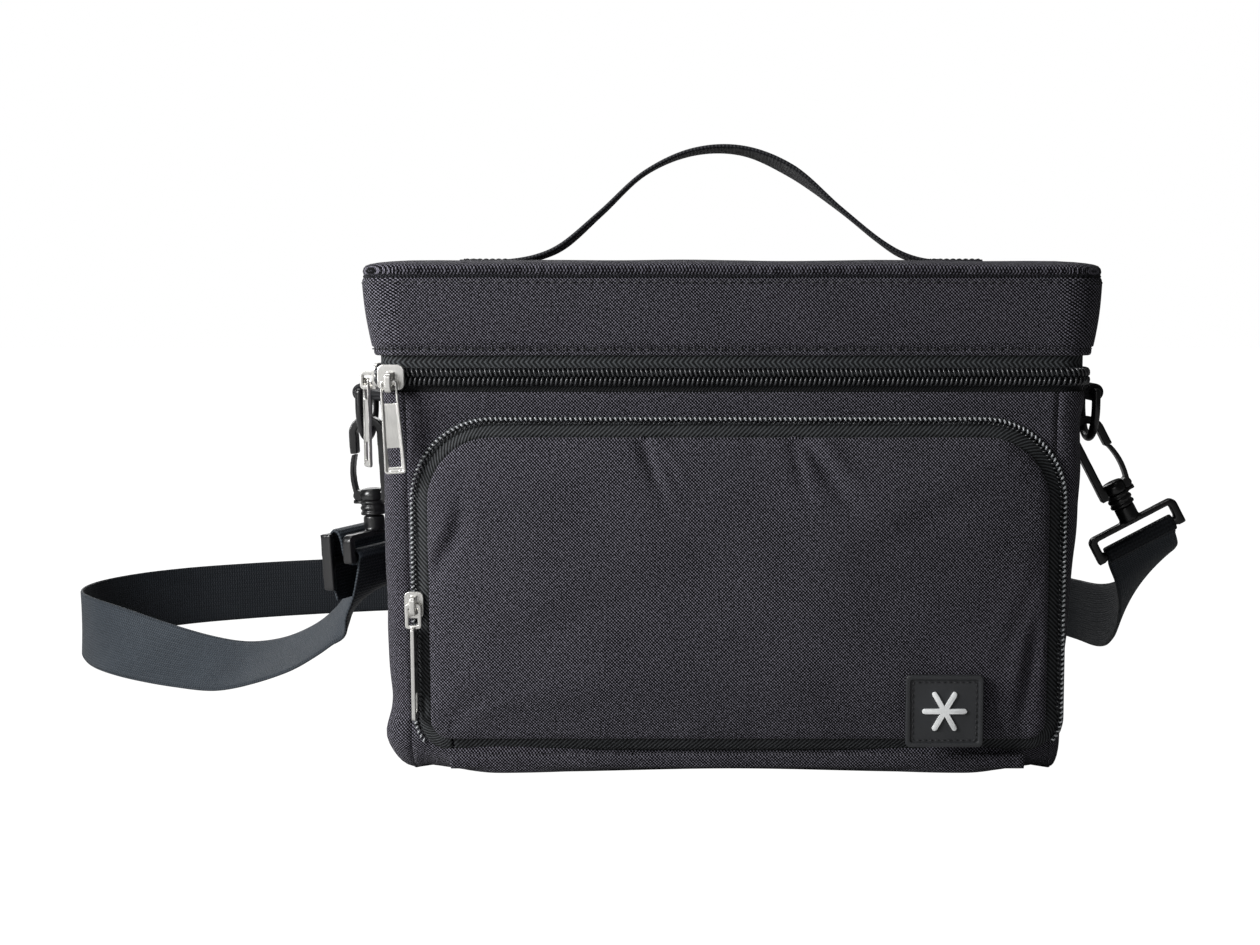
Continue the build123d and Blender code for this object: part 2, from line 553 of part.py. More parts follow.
def base_point(plane, turn, across, out, along):
    """Point in a swivel frame's own directions: along its bar, out of its face, and along the hook."""
    angle = math.radians(turn)
    x = across * math.cos(angle) - out * math.sin(angle)
    y = across * math.sin(angle) + out * math.cos(angle)
    return plane.origin + plane.x_dir * x + plane.y_dir * y + plane.z_dir * along


def sleeve(plane, turn):
    """Webbing folded round the bar of a swivel frame."""
    tube = Cylinder(2.1 + WEB_T, WEB_W) - Cylinder(2.1, WEB_W + 2)
    ring = Pos(0, 0, SWIVEL_BAR) * Rot(0, 90, 0) * tube
    return plane.location * (Rot(0, 0, turn) * ring)


def make_strap():
    left = hook_plane(LEFT_RING_X, LEFT_SLANT)
    right = hook_plane(RIGHT_RING_X, RIGHT_SLANT)
    width_left = base_point(left, LEFT_TURN, 1, 0, 0) - left.origin
    if width_left.Y < 0:
        width_left = width_left * -1
    out_sign = -1 if base_point(left, LEFT_TURN, 0, 1, 0).X > left.origin.X else 1
    first = [(tuple(base_point(left, LEFT_TURN, 0, out_sign * -2.9, SWIVEL_BAR - 1.5)), tuple(width_left)),
             (tuple(base_point(left, LEFT_TURN, 0, out_sign * 1.0, -32.0)), tuple(width_left))]
    last = [(tuple(base_point(right, 0, 0, 2.9, SWIVEL_BAR - 1.0)), tuple(right.x_dir))]
    run = ribbon(first + STRAP_RUN[:STRAP_JOIN + 1])
    far_run = ribbon(STRAP_RUN[STRAP_JOIN:] + last)
    down = (0, 0, -1)
    rise = Spline(*[(out_sign * m, 0, along) for m, along in TAIL_RISE],
                  tangents=[(out_sign * 0.2, 0, 1), down])
    middle = Line((out_sign * GLIDE_M, 0, TAIL_RISE[-1][1]), (out_sign * GLIDE_M, 0, TAIL_END[0][1]))
    end = Spline(*[(out_sign * m, 0, along) for m, along in TAIL_END],
                 tangents=[down, (-out_sign * 0.3, 0, -1)])
    tail = None
    for line in (rise, middle, end):
        face = make_face(Polyline(*[(p.X, p.Z) for p in outline_of(line, WEB_T, 16)], close=True))
        piece = extrude(Plane.XZ.offset(-WEB_W / 2) * face, amount=WEB_W)
        tail = piece if tail is None else tail + piece
    tail = Rot(0, 0, LEFT_TURN + 90) * tail
    PARTS["shoulder_strap"] = run + sleeve(left, LEFT_TURN)
    PARTS["shoulder_strap_right"] = far_run + sleeve(right, 0)
    PARTS["strap_adjusting_tail"] = left.location * tail
    rail = 2.6
    frame = Box(38.6, 5.2, 24) - Box(WEB_W + 1.0, 7, 24 - 2 * rail)
    frame -= Pos(0, -out_sign * 1.65, 0) * Box(WEB_W + 1.0, 5.5, 26)
    bridge = Pos(0, -out_sign * 1.85, 0) * Box(38.6, 1.5, 4.0)
    glide = frame + bridge
    place = left.location * Rot(0, 0, LEFT_TURN) * Pos(0, out_sign * GLIDE_M, GLIDE_S)
    PARTS["tri_glide"] = place * glide


make_body()
make_lid()
make_main_zip()
make_main_sliders()
make_handle()
make_pocket()
make_patch()
make_pocket_slider()
make_hooks()
make_strap()

os.makedirs("parts", exist_ok=True)
for node, solid in PARTS.items():
    export_step(solid, "parts/" + node + ".step")
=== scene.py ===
"""Insulated cooler bag: the visible model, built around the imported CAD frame.
Helper functions work in millimetres."""
import json
import math

import bpy
import numpy as np
from mathutils import Matrix, Vector, noise

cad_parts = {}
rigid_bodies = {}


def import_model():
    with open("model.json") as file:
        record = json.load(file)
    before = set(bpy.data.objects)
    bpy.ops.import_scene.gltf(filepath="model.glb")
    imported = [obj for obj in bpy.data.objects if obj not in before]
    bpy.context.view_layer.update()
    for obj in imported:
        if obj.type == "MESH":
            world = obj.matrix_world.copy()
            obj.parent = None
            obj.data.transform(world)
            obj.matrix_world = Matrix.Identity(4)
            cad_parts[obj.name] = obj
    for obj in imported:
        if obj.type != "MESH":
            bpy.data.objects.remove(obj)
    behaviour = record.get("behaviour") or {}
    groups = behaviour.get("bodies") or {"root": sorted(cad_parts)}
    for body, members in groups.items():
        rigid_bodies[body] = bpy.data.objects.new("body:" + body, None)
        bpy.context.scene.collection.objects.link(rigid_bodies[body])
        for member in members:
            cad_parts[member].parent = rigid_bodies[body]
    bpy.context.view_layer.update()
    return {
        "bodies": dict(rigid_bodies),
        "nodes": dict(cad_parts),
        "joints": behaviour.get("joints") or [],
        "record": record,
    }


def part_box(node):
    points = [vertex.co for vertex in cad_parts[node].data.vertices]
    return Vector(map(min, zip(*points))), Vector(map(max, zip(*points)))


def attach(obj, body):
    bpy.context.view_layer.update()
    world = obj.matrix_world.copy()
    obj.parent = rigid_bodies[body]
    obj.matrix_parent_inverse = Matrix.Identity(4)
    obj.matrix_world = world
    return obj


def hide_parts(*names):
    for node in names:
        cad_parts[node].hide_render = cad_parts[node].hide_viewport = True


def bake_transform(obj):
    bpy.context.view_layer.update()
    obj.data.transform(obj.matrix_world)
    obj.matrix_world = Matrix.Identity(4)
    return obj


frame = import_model()
NODES = frame["nodes"]
MM = 0.001


def box_mm(node):
    """Lower and upper corner of a CAD node's box at rest, in millimetres."""
    return (np.array(corner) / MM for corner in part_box(node))



# ---- the CAD's driving dimensions, millimetres
HALF_W, HALF_D, CORNER_R = 131.0, 82.5, 10.0
SEAM_X = 121.0
ZIP_Z = 150.0
PANEL_TOP = 144.3
ZIP_BACK_Y = 66.0
LID_LOW, LID_SEAM = 157.7, 186.5
BAND_LOW_OUT, BAND_TOP_OUT = 3.0, 6.8

# ---- camera, floor, lights
def new_object(name, data):
    obj = bpy.data.objects.new(name, data)
    bpy.context.scene.collection.objects.link(obj)
    return obj


camera = new_object("camera", bpy.data.cameras.new("camera"))
camera.location = (0.0, -0.6825, 0.171)
camera.rotation_euler = (math.radians(90 - 5.4), 0, 0)
camera.data.lens = 46.2
camera.data.sensor_width = 36
camera.data.shift_x = -0.081
bpy.context.scene.camera = camera


def light(name, place, target, size, watts):
    """Soft rectangular lamp aimed at a point; place and target in metres."""
    data = bpy.data.lights.new(name, "AREA")
    data.shape = "RECTANGLE"
    data.size, data.size_y = size
    data.energy = watts
    lamp = new_object(name, data)
    lamp.location = place
    lamp.rotation_euler = (Vector(target) - Vector(place)).to_track_quat("-Z", "Y").to_euler()


light("key", (-0.58, -0.48, 0.38), (-0.12, -0.08, 0.10), (0.30, 0.36), 7.0)
light("front", (-0.45, -1.70, 0.42), (0, 0, 0.10), (0.9, 0.5), 2.4)
light("top", (-0.35, 0.05, 1.2), (0, 0, 0.15), (0.9, 0.7), 5.0)
light("left_rear", (-0.85, 0.72, 0.14), (-0.14, -0.05, 0.13), (0.6, 0.6), 1.0)
light("back", (-0.5, 1.3, 0.7), (0, 0.1, 0.1), (1.0, 0.6), 5.0)


def studio():
    """Plain white surroundings: white to look at, weak as a light, so that black cloth stays black."""
    world = bpy.data.worlds.new("studio")
    world.use_nodes = True
    tree = world.node_tree
    path = tree.nodes.new("ShaderNodeLightPath")
    level = tree.nodes.new("ShaderNodeMapRange")
    level.inputs["To Min"].default_value = 0.05
    level.inputs["To Max"].default_value = 1.0
    tree.links.new(path.outputs["Is Camera Ray"], level.inputs["Value"])
    tree.links.new(level.outputs[0], tree.nodes["Background"].inputs["Strength"])
    tree.nodes["Background"].inputs["Color"].default_value = (1, 1, 1, 1)
    bpy.context.scene.world = world


studio()
bpy.context.scene.view_settings.view_transform = "Standard"


# ---- materials
class Shader:
    """One node material: its principled shader, and shorthand for the nodes in front of it."""

    def __init__(self, name, **sockets):
        self.material = bpy.data.materials.new(name)
        self.material.use_nodes = True
        self.tree = self.material.node_tree
        self.surface = self.tree.nodes["Principled BSDF"]
        for label, value in sockets.items():
            self.surface.inputs[label.replace("_", " ")].default_value = value

    def node(self, kind, *inputs, **settings):
        made = self.tree.nodes.new("ShaderNode" + kind)
        for label, value in settings.items():
            setattr(made, label, value)
        for index, value in enumerate(inputs):
            if value is None:
                continue
            if isinstance(value, bpy.types.NodeSocket):
                self.tree.links.new(value, made.inputs[index])
            else:
                made.inputs[index].default_value = value
        return made

    def math(self, operation, a, b=None, c=None):
        return self.node("Math", a, b, c, operation=operation).outputs[0]

    def mul(self, a, b):
        return self.math("MULTIPLY", a, b)

    def madd(self, a, b, c):
        """a * b + c."""
        return self.math("MULTIPLY_ADD", a, b, c)

    def sine(self, value, pace):
        return self.math("SINE", self.mul(value, pace))

    def wave(self, value, period):
        """Sine of a length in millimetres, 0 to 1."""
        return self.madd(self.sine(value, 2 * math.pi / period), 0.5, 0.5)

    def place(self):
        """Where a point lies in the cloth: across, along and which face, in millimetres."""
        return self.node("Attribute", attribute_name="weave").outputs["Vector"]

    def object_place(self):
        """Object coordinates in millimetres."""
        held = self.node("TexCoord").outputs["Object"]
        return self.node("VectorMath", held, (1000, 1000, 1000), operation="MULTIPLY").outputs[0]

    def split(self, vector):
        return self.node("SeparateXYZ", vector).outputs[:3]

    def noise(self, vector, size, detail=2.0):
        """Noise with blobs about size millimetres across, 0 to 1."""
        made = self.node("TexNoise")
        self.tree.links.new(vector, made.inputs["Vector"])
        made.inputs["Scale"].default_value = 1 / size
        made.inputs["Detail"].default_value = detail
        return made.outputs[0]

    def paint(self, factor, low, high):
        """Base colour from a ramp between two (position, colour) stops."""
        ramp = self.node("ValToRGB", factor)
        for element, (position, colour) in zip(ramp.color_ramp.elements, (low, high)):
            element.color = (*colour, 1)
            element.position = position
        self.tree.links.new(ramp.outputs[0], self.surface.inputs["Base Color"])

    def rough(self, value):
        self.tree.links.new(value, self.surface.inputs["Roughness"])

    def bump(self, height, distance, strength=1.0):
        made = self.node("Bump")
        made.inputs["Strength"].default_value = strength
        made.inputs["Distance"].default_value = distance
        self.tree.links.new(height, made.inputs["Height"])
        self.tree.links.new(made.outputs[0], self.surface.inputs["Normal"])


def woven(name, dark, lit, pitch, relief=0.10, attribute=True):
    """Plain-woven polyester: two crossing sets of yarns, uneven yarn by yarn, with faint large mottling."""
    s = Shader(name, Sheen_Weight=0.06, Sheen_Roughness=0.4, Specular_IOR_Level=0.12)
    place = s.place() if attribute else s.object_place()
    u, v, w = s.split(place)
    if not attribute:
        u, v = s.madd(w, 0.7, u), s.madd(v, 0.7, w)
    warp, weft = s.sine(u, math.pi / pitch), s.sine(v, math.pi / pitch)
    twill = s.sine(s.math("ADD", u, v), math.pi / pitch)
    weave = s.madd(twill, 0.35, s.mul(s.mul(warp, weft), 0.8))
    uneven = s.noise(place, pitch * 1.7, 1.0)
    height = s.math("ADD", s.math("SUBTRACT", uneven, 0.5), weave)
    mottle = s.noise(place, 24.0, 3.0)
    tone = s.madd(mottle, 0.16, s.madd(height, 1.15, -0.02))
    s.paint(tone, (0.0, dark), (1.0, lit))
    s.rough(s.madd(tone, -0.18, 0.92))
    s.bump(height, relief * MM)
    return s.material


def webbing(name, dark, lit, rib, edge=16.0, inner=1.0):
    """Woven strap: ribs across its width made of small floats, and a firmer selvedge."""
    s = Shader(name, Sheen_Weight=0.05, Sheen_Roughness=0.35, Specular_IOR_Level=0.25)
    place = s.place()
    across, along, side = s.split(place)
    shift = s.mul(s.wave(across, 2.3), 0.35)
    ribs = s.wave(s.math("ADD", along, shift), rib)
    floats = s.wave(across, 1.15)
    height = s.madd(floats, 0.35, s.mul(ribs, 0.65))
    uneven = s.noise(place, 1.6, 2.0)
    mottle = s.noise(place, 30.0, 2.0)
    selvedge = s.math("GREATER_THAN", s.math("ABSOLUTE", across), edge - 1.4)
    tone = s.madd(uneven, 0.35, s.mul(height, 0.6))
    tone = s.madd(mottle, 0.3, s.math("SUBTRACT", tone, s.mul(selvedge, 0.12)))
    # Painted shade: the tone of the face with side > 0, the inner face that looks away from the light, is multiplied
    # by inner.
    tone = s.mul(tone, s.madd(s.math("GREATER_THAN", side, 0.5), inner - 1, 1.0))
    s.paint(tone, (0.1, dark), (1.0, lit))
    s.rough(s.madd(height, -0.12, 0.62))
    s.bump(s.madd(uneven, 0.4, height), 0.22 * MM)
    return s.material


def herringbone(name, dark, lit, width=5.0, pitch=1.15):
    """Zip tape: slanted floats that turn back on themselves in rows."""
    s = Shader(name, Specular_IOR_Level=0.15, Sheen_Weight=0.03)
    place = s.place()
    across, along, _ = s.split(place)
    fold = s.math("PINGPONG", across, width)
    ribs = s.wave(s.madd(fold, 0.9, along), pitch)
    uneven = s.noise(place, 1.4, 2.0)
    tone = s.madd(uneven, 0.3, s.mul(s.mul(ribs, ribs), 0.7))
    s.paint(tone, (0.1, dark), (1.0, lit))
    s.rough(s.madd(ribs, -0.15, 0.72))
    s.bump(ribs, 0.16 * MM)
    return s.material


def moulded(name, colour, gloss=0.32, grain=0.35, relief=0.03, coat=0.0):
    """Moulded plastic or rubber: fine grain, uneven gloss and a little dust in the low places."""
    s = Shader(name, Coat_Weight=coat, Coat_Roughness=0.15, Specular_IOR_Level=0.5)
    place = s.object_place()
    fine = s.noise(place, grain, 2.0)
    broad = s.noise(place, 9.0, 3.0)
    tone = s.madd(fine, 0.3, s.mul(broad, 0.7))
    lit = tuple(1.6 * c + 0.004 for c in colour)
    s.paint(tone, (0.25, colour), (0.85, lit))
    s.rough(s.madd(tone, 0.25, gloss - 0.08))
    s.bump(fine, relief * MM)
    return s.material


def metal(name, colour, gloss=0.24):
    """Plated metal: brushed along the piece, with small scuffs."""
    s = Shader(name, Metallic=1.0)
    place = s.object_place()
    stretched = s.node("VectorMath", place, (1.0, 1.0, 0.12), operation="MULTIPLY").outputs[0]
    brushed = s.noise(stretched, 0.22, 2.0)
    broad = s.noise(place, 4.0, 3.0)
    tone = s.madd(brushed, 0.6, s.mul(broad, 0.4))
    dull = tuple(0.84 * c for c in colour)
    s.paint(tone, (0.25, dull), (0.7, colour))
    s.rough(s.madd(tone, 0.14, gloss - 0.06))
    s.bump(brushed, 0.004 * MM)
    return s.material


def foil(name, colour):
    """Heat-sealed foil liner: soft crinkles in a bright film."""
    s = Shader(name, Metallic=0.85)
    place = s.object_place()
    creases = s.noise(place, 9.0, 4.0)
    ridged = s.math("ABSOLUTE", s.madd(creases, 2.0, -1.0))
    s.paint(ridged, (0.0, tuple(0.8 * c for c in colour)), (0.6, colour))
    s.rough(s.madd(creases, 0.2, 0.26))
    s.bump(ridged, 0.9 * MM, 0.7)
    return s.material


def closed_foam(name, colour):
    """Fine-celled foam sheet."""
    s = Shader(name, Subsurface_Weight=0.08, Specular_IOR_Level=0.3)
    s.surface.inputs["Subsurface Radius"].default_value = (0.002, 0.002, 0.002)
    place = s.object_place()
    made = s.node("TexVoronoi", place)
    made.inputs["Scale"].default_value = 0.9
    cells = made.outputs["Distance"]
    s.paint(cells, (0.0, tuple(0.75 * c for c in colour)), (0.6, colour))
    s.rough(s.madd(cells, 0.1, 0.78))
    s.bump(cells, 0.25 * MM)
    return s.material


SHELL = woven("shell_cloth", (0.0010, 0.0010, 0.0016), (0.200, 0.192, 0.232), 0.62, 0.16)
SHELL_PLAIN = woven("shell_cloth_plain", (0.0010, 0.0010, 0.0016), (0.160, 0.154, 0.186), 0.62, 0.16, attribute=False)
BINDING = woven("binding_tape", (0.003, 0.003, 0.004), (0.035, 0.035, 0.042), 0.7, attribute=False)
# inner=0.35 paints shade on the strap's inner face, as seen on the back strand that faces away from the light.
STRAP = webbing("strap_webbing", (0.0025, 0.0035, 0.0055), (0.050, 0.062, 0.076), 1.35, inner=0.35)
GRIP = webbing("handle_webbing", (0.003, 0.003, 0.004), (0.028, 0.029, 0.034), 1.5, edge=12.5)
TAPE = herringbone("zip_tape", (0.0008, 0.001, 0.0012), (0.085, 0.092, 0.098), 5.0, 1.9)
# Painted shade: a darker copy of the zip tape for the lower half, which lies in the shade under the coil; both tapes
# are the same cloth.
TAPE_PAINTED_SHADE = herringbone("zip_tape_low_painted_shade", (0.0015, 0.0018, 0.002), (0.012, 0.013, 0.015))
THREAD = moulded("thread", (0.012, 0.012, 0.014), 0.5, 0.3, 0.05)
COIL = moulded("coil_nylon", (0.020, 0.021, 0.023), 0.26, 0.5, 0.012, coat=0.5)
PLASTIC = moulded("black_plastic", (0.003, 0.003, 0.0035), 0.26, 0.3, 0.012, coat=0.3)
# Painted highlight: the outer pocket coil is coloured light grey so that its beads read as bright glints; the real
# nylon coil is black.
BEAD_GLINT = moulded("bead_nylon_painted_highlight", (0.26, 0.27, 0.28), 0.2, 0.5, 0.0, coat=1.0)
RUBBER = moulded("patch_rubber", (0.016, 0.017, 0.019), 0.5, 0.25, 0.05)
WHITE = moulded("emblem_rubber", (0.62, 0.63, 0.63), 0.5, 0.4, 0.03)
NICKEL = metal("satin_nickel", (0.78, 0.77, 0.74), 0.30)
LINER = foil("foil_liner", (0.78, 0.79, 0.80))
FOAM = closed_foam("insulation_foam", (0.78, 0.78, 0.76))
BOARD = moulded("base_board", (0.20, 0.19, 0.18), 0.6, 0.8, 0.1)
SLOT_FINISH = {"shell_fabric": SHELL_PLAIN, "base_fabric": SHELL_PLAIN, "foam": FOAM, "board": BOARD,
               "liner": LINER, "binding": BINDING, "zip_tape": BINDING, "zip_coil": COIL, "nickel": NICKEL,
               "handle_webbing": BINDING, "strap_webbing": BINDING, "hook_plastic": PLASTIC,
               "patch_rubber": RUBBER, "emblem_white": WHITE}
NODE_SLOT = {part["node"]: part.get("material_slot") for part in frame["record"]["subparts"]}
for node_name, node_object in NODES.items():
    node_object.data.materials.clear()
    node_object.data.materials.append(SLOT_FINISH.get(NODE_SLOT.get(node_name), BINDING))


def floor():
    """Plain pale ground under the bag."""
    mesh = bpy.data.meshes.new("floor")
    mesh.from_pydata([(-9, -9, 0), (9, -9, 0), (9, 9, 0), (-9, 9, 0)], [], [(0, 1, 2, 3)])
    ground = new_object("floor", mesh)
    ground.location.z = -0.0005
    s = Shader("floor_card", Roughness=0.9, Specular_IOR_Level=0.0)
    s.surface.inputs["Base Color"].default_value = (0.5, 0.5, 0.5, 1)
    glow = s.node("Emission", (1, 1, 1, 1), 1.2)
    seen = s.mul(s.node("LightPath").outputs["Is Camera Ray"], 0.86)
    both = s.node("MixShader", seen, s.surface.outputs[0], glow.outputs[0])
    s.tree.links.new(both.outputs[0], s.tree.nodes["Material Output"].inputs["Surface"])
    mesh.materials.append(s.material)


floor()


# ---- mesh helpers
def finish_piece(obj, body, stands_for=()):
    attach(obj, body)
    if stands_for:
        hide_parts(*stands_for)
    return obj


def mesh_object(name, points, faces, material, cloth=None):
    """Mesh from points in millimetres; cloth holds each point's place in the weave."""
    mesh = bpy.data.meshes.new(name)
    mesh.from_pydata((np.asarray(points, float).reshape(-1, 3) * MM).tolist(), [], faces)
    mesh.materials.append(material)
    mesh.polygons.foreach_set("use_smooth", [True] * len(mesh.polygons))
    if cloth is not None:
        held = mesh.attributes.new("weave", "FLOAT_VECTOR", "POINT")
        held.data.foreach_set("vector", np.asarray(cloth, np.float32).reshape(-1))
    return new_object(name, mesh)


def grid_faces(rows, columns, wrap_columns=False, wrap_rows=False):
    """Quads whose normals are (column direction) x (row direction)."""
    faces = []
    for r in range(rows if wrap_rows else rows - 1):
        for c in range(columns if wrap_columns else columns - 1):
            next_r, next_c = (r + 1) % rows, (c + 1) % columns
            faces.append((r * columns + c, r * columns + next_c, next_r * columns + next_c, next_r * columns + c))
    return faces


def end_face(grid):
    """One face that fills the last ring of a grid."""
    rows, columns = grid.shape[:2]
    return tuple(range((rows - 1) * columns, rows * columns))


def start_face(grid):
    return tuple(range(grid.shape[1]))[::-1]


def ring_faces(grid):
    """Quads between the closed rings of a grid."""
    return grid_faces(*grid.shape[:2], True)


def cloth_place(across, along):
    """Each point's place in the weave."""
    return np.stack(np.broadcast_arrays(across, along, 0.0), -1)


def thicken(obj, thickness, offset=-1.0):
    solid = obj.modifiers.new("thickness", "SOLIDIFY")
    solid.thickness = thickness * MM
    solid.offset = offset
    apply_modifiers(obj)


def apply_modifiers(obj):
    """Puts the result of the modifiers into the mesh."""
    depsgraph = bpy.context.evaluated_depsgraph_get()
    depsgraph.update()
    made = bpy.data.meshes.new_from_object(obj.evaluated_get(depsgraph))
    obj.modifiers.clear()
    obj.data = made


def run_of(points):
    """Length along a line of points, 0 at the first."""
    return np.concatenate([[0], np.cumsum(np.linalg.norm(np.diff(points, axis=0), axis=1))])


def read_off(where, length, table):
    """Rows of a table at the given lengths."""
    return np.stack([np.interp(where, length, column) for column in np.asarray(table, float).T], -1)


# ---- the body's outline
ARC = CORNER_R * math.pi / 2
SIDE = 2 * (HALF_D - CORNER_R)
S_FRONT = SEAM_X
S_SIDE = S_FRONT + ARC
S_REAR = S_SIDE + SIDE
S_BACK = S_REAR + ARC
S_END = S_BACK + SEAM_X
ZIP_S = S_SIDE + (ZIP_BACK_Y + HALF_D - CORNER_R)
LOOP = np.linspace(-S_END, S_END, 421)[:-1]


def outline(s):
    """Points and outward directions (n, 2) on the body's rounded outline. s is the way along it in millimetres,
    from the middle of the front towards +X; negative s goes the other way round."""
    s = np.asarray(s, float)
    a = np.abs(s)
    turn = np.clip((a - S_FRONT) / CORNER_R, 0, math.pi / 2) + np.clip((a - S_REAR) / CORNER_R, 0, math.pi / 2)
    normal = np.stack([np.sin(turn), -np.cos(turn)], -1)
    x = np.clip(a, 0, S_FRONT) - np.clip(a - S_BACK, 0, SEAM_X)
    y = -(HALF_D - CORNER_R) + np.clip(a - S_SIDE, 0, SIDE)
    point = np.stack([x, y], -1) + normal * CORNER_R
    mirror = np.where(s < 0, -1.0, 1.0)
    mirror = np.stack([mirror, np.ones_like(mirror)], -1)
    return point * mirror, normal * mirror


def hump(value, middle, width):
    return np.exp(-(((value - middle) / width) ** 2))


def step(value, low, high):
    t = np.clip((value - low) / (high - low), 0, 1)
    return t * t * (3 - 2 * t)


def wall_points(s, z, out):
    """Points at height z, standing out by out from the outline."""
    point, normal = outline(s)
    return np.stack([point[..., 0] + normal[..., 0] * out, point[..., 1] + normal[..., 1] * out, z + 0 * s], -1)


def wall_outward(s):
    """Outward directions at s, in space."""
    return cloth_place(*outline(s)[1].T)


def ripple(s, z, size, seed):
    """Smooth, repeatable unevenness of soft cloth, about -1 to 1."""
    flat_s, flat_z = np.broadcast_arrays(s, z)
    values = [noise.noise(Vector((a / size, b / size, seed))) for a, b in zip(flat_s.ravel(), flat_z.ravel())]
    return np.array(values).reshape(flat_s.shape) * 1.8


# ---- body: soft outer shell
def foot_radius(s):
    """Radius of the rounded lower edge: large at the corners, small where the bag rests, wider in the middle."""
    a = np.abs(s)
    front = 2.2 + 5.5 * hump(a, 0, 52) + 13.0 * step(a, 88, 126)
    rest = 15.2 - 5.5 * step(a, 136, 160) + 5.5 * step(a, 262, 286) - 8 * step(a, 300, 350)
    return np.where(a < 130, front, rest)


def foot_inset(s):
    """How far in the rounded lower edge reaches: at most the corner's own radius where the wall turns."""
    a = np.abs(s)
    front = np.maximum(np.maximum(S_FRONT - a, a - S_SIDE), 0)
    rear = np.maximum(np.maximum(S_REAR - a, a - S_BACK), 0)
    return np.minimum(foot_radius(s), CORNER_R - 0.8 + np.minimum(front, rear))


FRONT_CORNER_S, REAR_CORNER_S = 128.9, 289.6      # middles of the rounded corners, along the outline


def body_swell(s, z):
    """How far the soft shell stands out from the outline."""
    a = np.abs(s)
    corner = hump(a, FRONT_CORNER_S, 13) + hump(a, REAR_CORNER_S, 13)
    left, right = (s < 0) * 1.0, (s >= 0) * 1.0
    out = corner * hump(z, 13, 9) * (2.2 * left + 0.2 * right) - corner * hump(z, 27, 10) * 1.2 * left
    pinch = hump(a, S_SIDE, np.where(a > S_SIDE, 17, 26)) * (1 - step(z, 22, 110))
    out = out - right * pinch * 5.0 * (a > 60)
    out = out + 3.8 * hump(a, 84, 34) * (1 - step(z, 4, 17)) * (1 - step(a, 98, 121))
    out = out + 1.6 * hump(z, 70, 45) * hump(a, 209, 62) + 1.2 * hump(z, 70, 45) * hump(a, S_END, 110)
    free = 1 - step(z, 128, 139)
    out = out + free * (0.8 * ripple(s, z, 46, 3.1) + 0.35 * ripple(s, z, 17, 8.4)) * step(z, 2, 14)
    seams = hump(a, S_FRONT + 1.5, 1.3) + hump(a, S_BACK - 1.5, 1.3)
    out = out - 0.75 * seams * step(z, 6, 20)
    return out * (1 - step(z, 126, 137)) + 1.55 * step(z, 132, 141)


CLOTH_T = 0.9
PANEL_STEP = 2.6


def shell_panel(name, s_line, along, stands_for):
    """One outer panel: a rounded foot, then a soft wall. along is the cloth's own measure of s_line."""
    radius, inset = foot_radius(s_line), foot_inset(s_line)
    rows = [(radius * (1 - math.cos(angle)), -inset * (1 - math.sin(angle)))
            for angle in np.radians(np.linspace(0, 90, 9))]
    rows += [(radius + (PANEL_TOP - radius) * t, 0 * radius) for t in np.linspace(0, 1, 54)[1:]]
    grid, cloth = [], []
    for z, inward in rows:
        out = body_swell(s_line, z) * np.clip(1 + inward / 8, 0, 1) + inward
        grid.append(wall_points(s_line, z, out))
        cloth.append(cloth_place(along, z + inward))
    obj = mesh_object(name, grid, grid_faces(len(grid), len(s_line)), SHELL, cloth)
    thicken(obj, CLOTH_T)
    finish_piece(obj, "bag_body", [stands_for])


for piece_name, from_s, to_s, stood_for in (("front_shell", -S_FRONT, S_FRONT, "front_panel"),
                                            ("right_shell", S_FRONT, S_BACK, "right_panel"),
                                            ("left_shell", -S_BACK, -S_FRONT, "left_panel")):
    panel_line = np.linspace(from_s, to_s, int((to_s - from_s) / PANEL_STEP) + 1)
    shell_panel(piece_name, panel_line, panel_line, stood_for)
back_line = np.concatenate([np.linspace(S_BACK, S_END, 48), np.linspace(-S_END, -S_BACK, 48)[1:]])
shell_panel("back_shell", back_line, np.where(back_line < 0, back_line + 2 * S_END, back_line), "back_panel")


def base_shell():
    """Bottom panel, filling the ring inside the rounded lower edge."""
    s_line = np.linspace(-S_END, S_END, 321)[:-1]
    rings = []
    edge = foot_inset(s_line) - 0.6
    for share in np.linspace(1, 0.03, 12):
        points = wall_points(s_line, 0.12 + 0.45 * (1 - share) * 0.3, -edge)
        points[:, :2] *= share
        rings.append(points)
    grid = np.array(rings)
    faces = [face[::-1] for face in ring_faces(grid) + [end_face(grid)]]
    obj = mesh_object("base_shell", grid, faces, SHELL, cloth_place(grid[..., 0], grid[..., 1]))
    thicken(obj, 0.6, 1.0)
    finish_piece(obj, "bag_body", ["base_panel"])


base_shell()


# ---- tubes, stitches, coils
UP, TO_FRONT = (0.0, 0.0, 1.0), (0.0, -1.0, 0.0)


def unit(v):
    return v / np.maximum(np.linalg.norm(v, axis=-1, keepdims=True), 1e-9)


def sweep(points, radius, sides=8, closed=False, up=UP):
    """Tube round a line of points. radius is one number or one for each point."""
    points = np.asarray(points, float)
    along = np.roll(points, -1, 0) - np.roll(points, 1, 0)
    if not closed:
        along[0], along[-1] = points[1] - points[0], points[-1] - points[-2]
    along = unit(along)
    side = unit(np.cross(along, np.broadcast_to(np.asarray(up, float), points.shape)))
    top = unit(np.cross(side, along))
    radius = np.broadcast_to(np.asarray(radius, float), (len(points),))[:, None, None]
    angles = np.linspace(0, 2 * math.pi, sides, endpoint=False)[None, :, None]
    verts = points[:, None] + (side[:, None] * np.cos(angles) + top[:, None] * np.sin(angles)) * radius
    faces = grid_faces(len(points), sides, True, closed)
    if not closed:
        faces += [start_face(verts), end_face(verts)]
    return verts.reshape(-1, 3), faces


